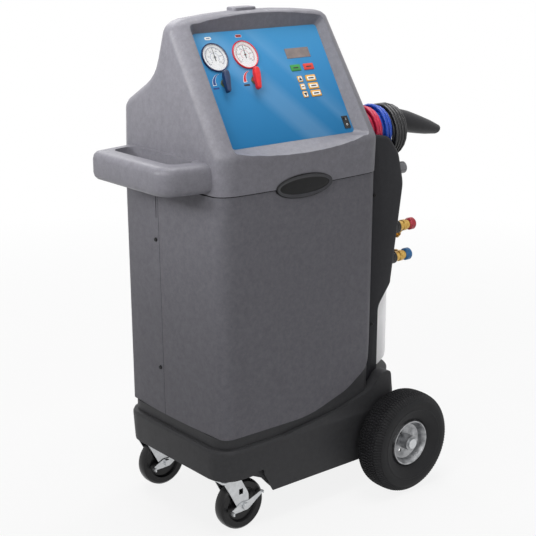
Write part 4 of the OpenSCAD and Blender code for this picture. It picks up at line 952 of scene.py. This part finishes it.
SHELL_SCREW_X = 0.158
SHELL_SCREW_HEIGHTS = (0.754, 0.425)
SCREW_PROFILE = [(-1.0, 4.6), (1.0, 4.6), (1.9, 4.0), (2.3, 2.6), (2.3, 2.2), (1.2, 2.2)]
SCREW_STEPS = 32


def add_shell_screws():
    shell = tree_of("side_shell")
    for number, height in enumerate(SHELL_SCREW_HEIGHTS, 1):
        seat = front_hit(shell, SHELL_SCREW_X, height)
        bm = bmesh.new()
        loops = turned_loops(bm, seat, -AXIS_Y, AXIS_X, SCREW_PROFILE, SCREW_STEPS)
        for low, high in zip(loops, loops[1:]):
            bridge(bm, low, high)
        cap(bm, loops[0], loops[-1])
        link_mesh(f"shell_screw_{number}", bm, [SCREW_BLACK])


# Ribbed black collars on the stored couplers

COLLAR_PROFILE = [
    (0, 13.5), (0, 15.4), (1.2, 16.4), (4.2, 16.4), (5.0, 15.4), (6.2, 15.4), (7.0, 16.4),
    (10.0, 16.4), (10.8, 15.4), (12.0, 15.4), (12.8, 16.4), (16.0, 16.4), (17.2, 15.4), (17.2, 13.5),
]
COLLAR_BACK = 53 * MM
COLLAR_STEPS = 48


def add_collars():
    """Each collar stands on its coupler's axis, a set way back from the coupler's knob."""
    for side in ("high", "low"):
        origin = middle(f"{side}_coupler_knob")
        origin.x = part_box(f"{side}_coupler_knob")[0].x - COLLAR_BACK
        bm = bmesh.new()
        loops = turned_loops(bm, origin, AXIS_X, AXIS_Y, COLLAR_PROFILE, COLLAR_STEPS)
        for loop, following in zip(loops, loops[1:] + loops[:1]):
            bridge(bm, loop, following)
        split_edges(link_mesh(f"{side}_coupler_collar", bm, [SWITCH_BLACK]))


# Webs inside the base that close its notches, with an outline in X and Z

WEB_OUTLINE = [
    (-0.240, 0.205), (-0.240, 0.136), (-0.214, 0.124), (-0.196, 0.104), (-0.184, 0.092), (-0.184, 0.205),
]
WEB_Y = (0.1862, 0.1900)


def add_webs():
    for side, sign in (("near", -1), ("far", 1)):
        bm = bmesh.new()
        inner, outer = [[bm.verts.new((x, sign * y, z)) for x, z in WEB_OUTLINE] for y in WEB_Y]
        cap(bm, outer, inner)
        bridge(bm, inner, outer, smooth=False)
        link_mesh(f"{side}_base_web", bm, [BASE_BLACK])


# Floor, room and lamps; the floor's glow grows to full white between the two distances of its fade

FLOOR_REACH = 14.0
FLOOR_GLOW = 0.86
FLOOR_FADE = (0.9, 3.0)
WORLD_LIGHT = 0.1


def combined(tree, operation, first, second):
    node = tree.nodes.new("ShaderNodeMath")
    node.operation = operation
    tree.links.new(first, node.inputs[0])
    tree.links.new(second, node.inputs[1])
    return node.outputs["Value"]


def seen_rays(tree):
    """One for camera, mirror and glass rays, and nothing for the rest."""
    path = tree.nodes.new("ShaderNodeLightPath")
    mirror_or_glass = combined(
        tree, "MAXIMUM", path.outputs["Is Glossy Ray"], path.outputs["Is Transmission Ray"],
    )
    return combined(tree, "MAXIMUM", path.outputs["Is Camera Ray"], mirror_or_glass)


def mix_shaders(tree, share, first, second, output):
    """Sends a mix of two shaders to the tree's output node."""
    mix = tree.nodes.new("ShaderNodeMixShader")
    tree.links.new(share, mix.inputs["Fac"])
    tree.links.new(first, mix.inputs[1])
    tree.links.new(second, mix.inputs[2])
    tree.links.new(mix.outputs["Shader"], tree.nodes[output].inputs["Surface"])


def floor_white():
    """A pale floor that keeps the shadow near the cart and turns white away from it."""
    finish = Finish("floor_white", roughness=0.8, Base_Color=tone(236, 236, 236))
    tree = finish.tree
    distance = tree.nodes.new("ShaderNodeVectorMath")
    distance.operation = "LENGTH"
    tree.links.new(finish.place, distance.inputs[0])
    glowing = finish.mapped(distance.outputs["Value"], *FLOOR_FADE, FLOOR_GLOW, 1.0)
    glow = tree.nodes.new("ShaderNodeEmission")
    glow.inputs["Color"].default_value = WHITE
    share = combined(tree, "MULTIPLY", glowing, seen_rays(tree))
    mix_shaders(tree, share, finish.shader.outputs["BSDF"], glow.outputs["Emission"], "Material Output")
    return finish.material


def add_stage():
    bm = bmesh.new()
    corners = ((-1, -1), (1, -1), (1, 1), (-1, 1))
    bm.faces.new([bm.verts.new((x * FLOOR_REACH, y * FLOOR_REACH, 0)) for x, y in corners])
    mesh = bpy.data.meshes.new("floor")
    bm.to_mesh(mesh)
    bm.free()
    mesh.materials.append(floor_white())
    floor = bpy.data.objects.new("floor", mesh)
    scene.collection.objects.link(floor)


def add_world():
    """A dim white room that looks white to the camera and in reflections."""
    world = bpy.data.worlds.new("studio")
    scene.world = world
    world.use_nodes = True
    tree = world.node_tree
    room = tree.nodes["Background"]
    room.inputs["Color"].default_value = WHITE
    room.inputs["Strength"].default_value = WORLD_LIGHT
    seen = tree.nodes.new("ShaderNodeBackground")
    seen.inputs["Color"].default_value = WHITE
    seen.inputs["Strength"].default_value = 1.0
    backgrounds = (room.outputs["Background"], seen.outputs["Background"])
    mix_shaders(tree, seen_rays(tree), *backgrounds, "World Output")


def add_softbox(name, at, aim, size, power, spread=math.pi):
    data = bpy.data.lights.new(name, "AREA")
    data.shape = "RECTANGLE"
    data.size = size[0]
    data.size_y = size[1]
    data.energy = power
    data.spread = spread
    lamp = bpy.data.objects.new(name, data)
    lamp.location = at
    lamp.rotation_euler = (Vector(aim) - Vector(at)).to_track_quat("-Z", "Y").to_euler()
    scene.collection.objects.link(lamp)


def add_lights():
    add_softbox("key", (-1.9, -0.75, 2.05), (-0.3, 0.0, 1.3), size=(1.1, 1.1), power=4.2, spread=1.2)
    add_softbox("fill", (-1.1, -3.2, 1.4), (-0.1, 0.0, 0.6), size=(2.2, 1.8), power=18)
    add_softbox("top", (-0.1, -0.1, 3.2), (-0.1, 0.0, 0.8), size=(1.8, 1.8), power=58)
    add_softbox("side", (-2.3, 0.5, 1.75), (-0.3, 0.0, 1.2), size=(0.5, 0.5), power=2.2, spread=0.7)
    add_softbox("back", (0.3, 2.2, 2.6), (-0.1, 0.0, 1.0), size=(1.4, 1.0), power=18)
    add_softbox("tank_fill", (2.4, -0.9, 0.7), (0.3, -0.06, 0.4), size=(0.2, 0.2), power=0.1, spread=0.16)
    add_softbox("edge", (1.3, 0.66, 2.75), (-0.1, 0.0, 1.15), size=(0.5, 0.5), power=0.6, spread=0.8)


# The making

scene.view_settings.view_transform = "Standard"
add_camera()
add_hose("red", RED_SPAN, RED_START, RED_END, HOSE_RED)
add_hose("blue", BLUE_SPAN, BLUE_START, BLUE_END, HOSE_BLUE)
add_lead()
for node_finish, node_names in NODE_FINISH.items():
    for node_name in node_names:
        dress(node_name, node_finish)
paint_display()
paint_peg()
shade_seams()
add_dial("low", INK_NAVY, step=25)
add_dial("high", INK_RED, step=50)
add_gauge_labels()
add_lever_arcs()
add_key_prints()
add_rocker_signs()
add_badge()
add_tyre("near")
add_tyre("far")
add_shell_screws()
add_collars()
add_webs()
add_stage()
add_world()
add_lights()
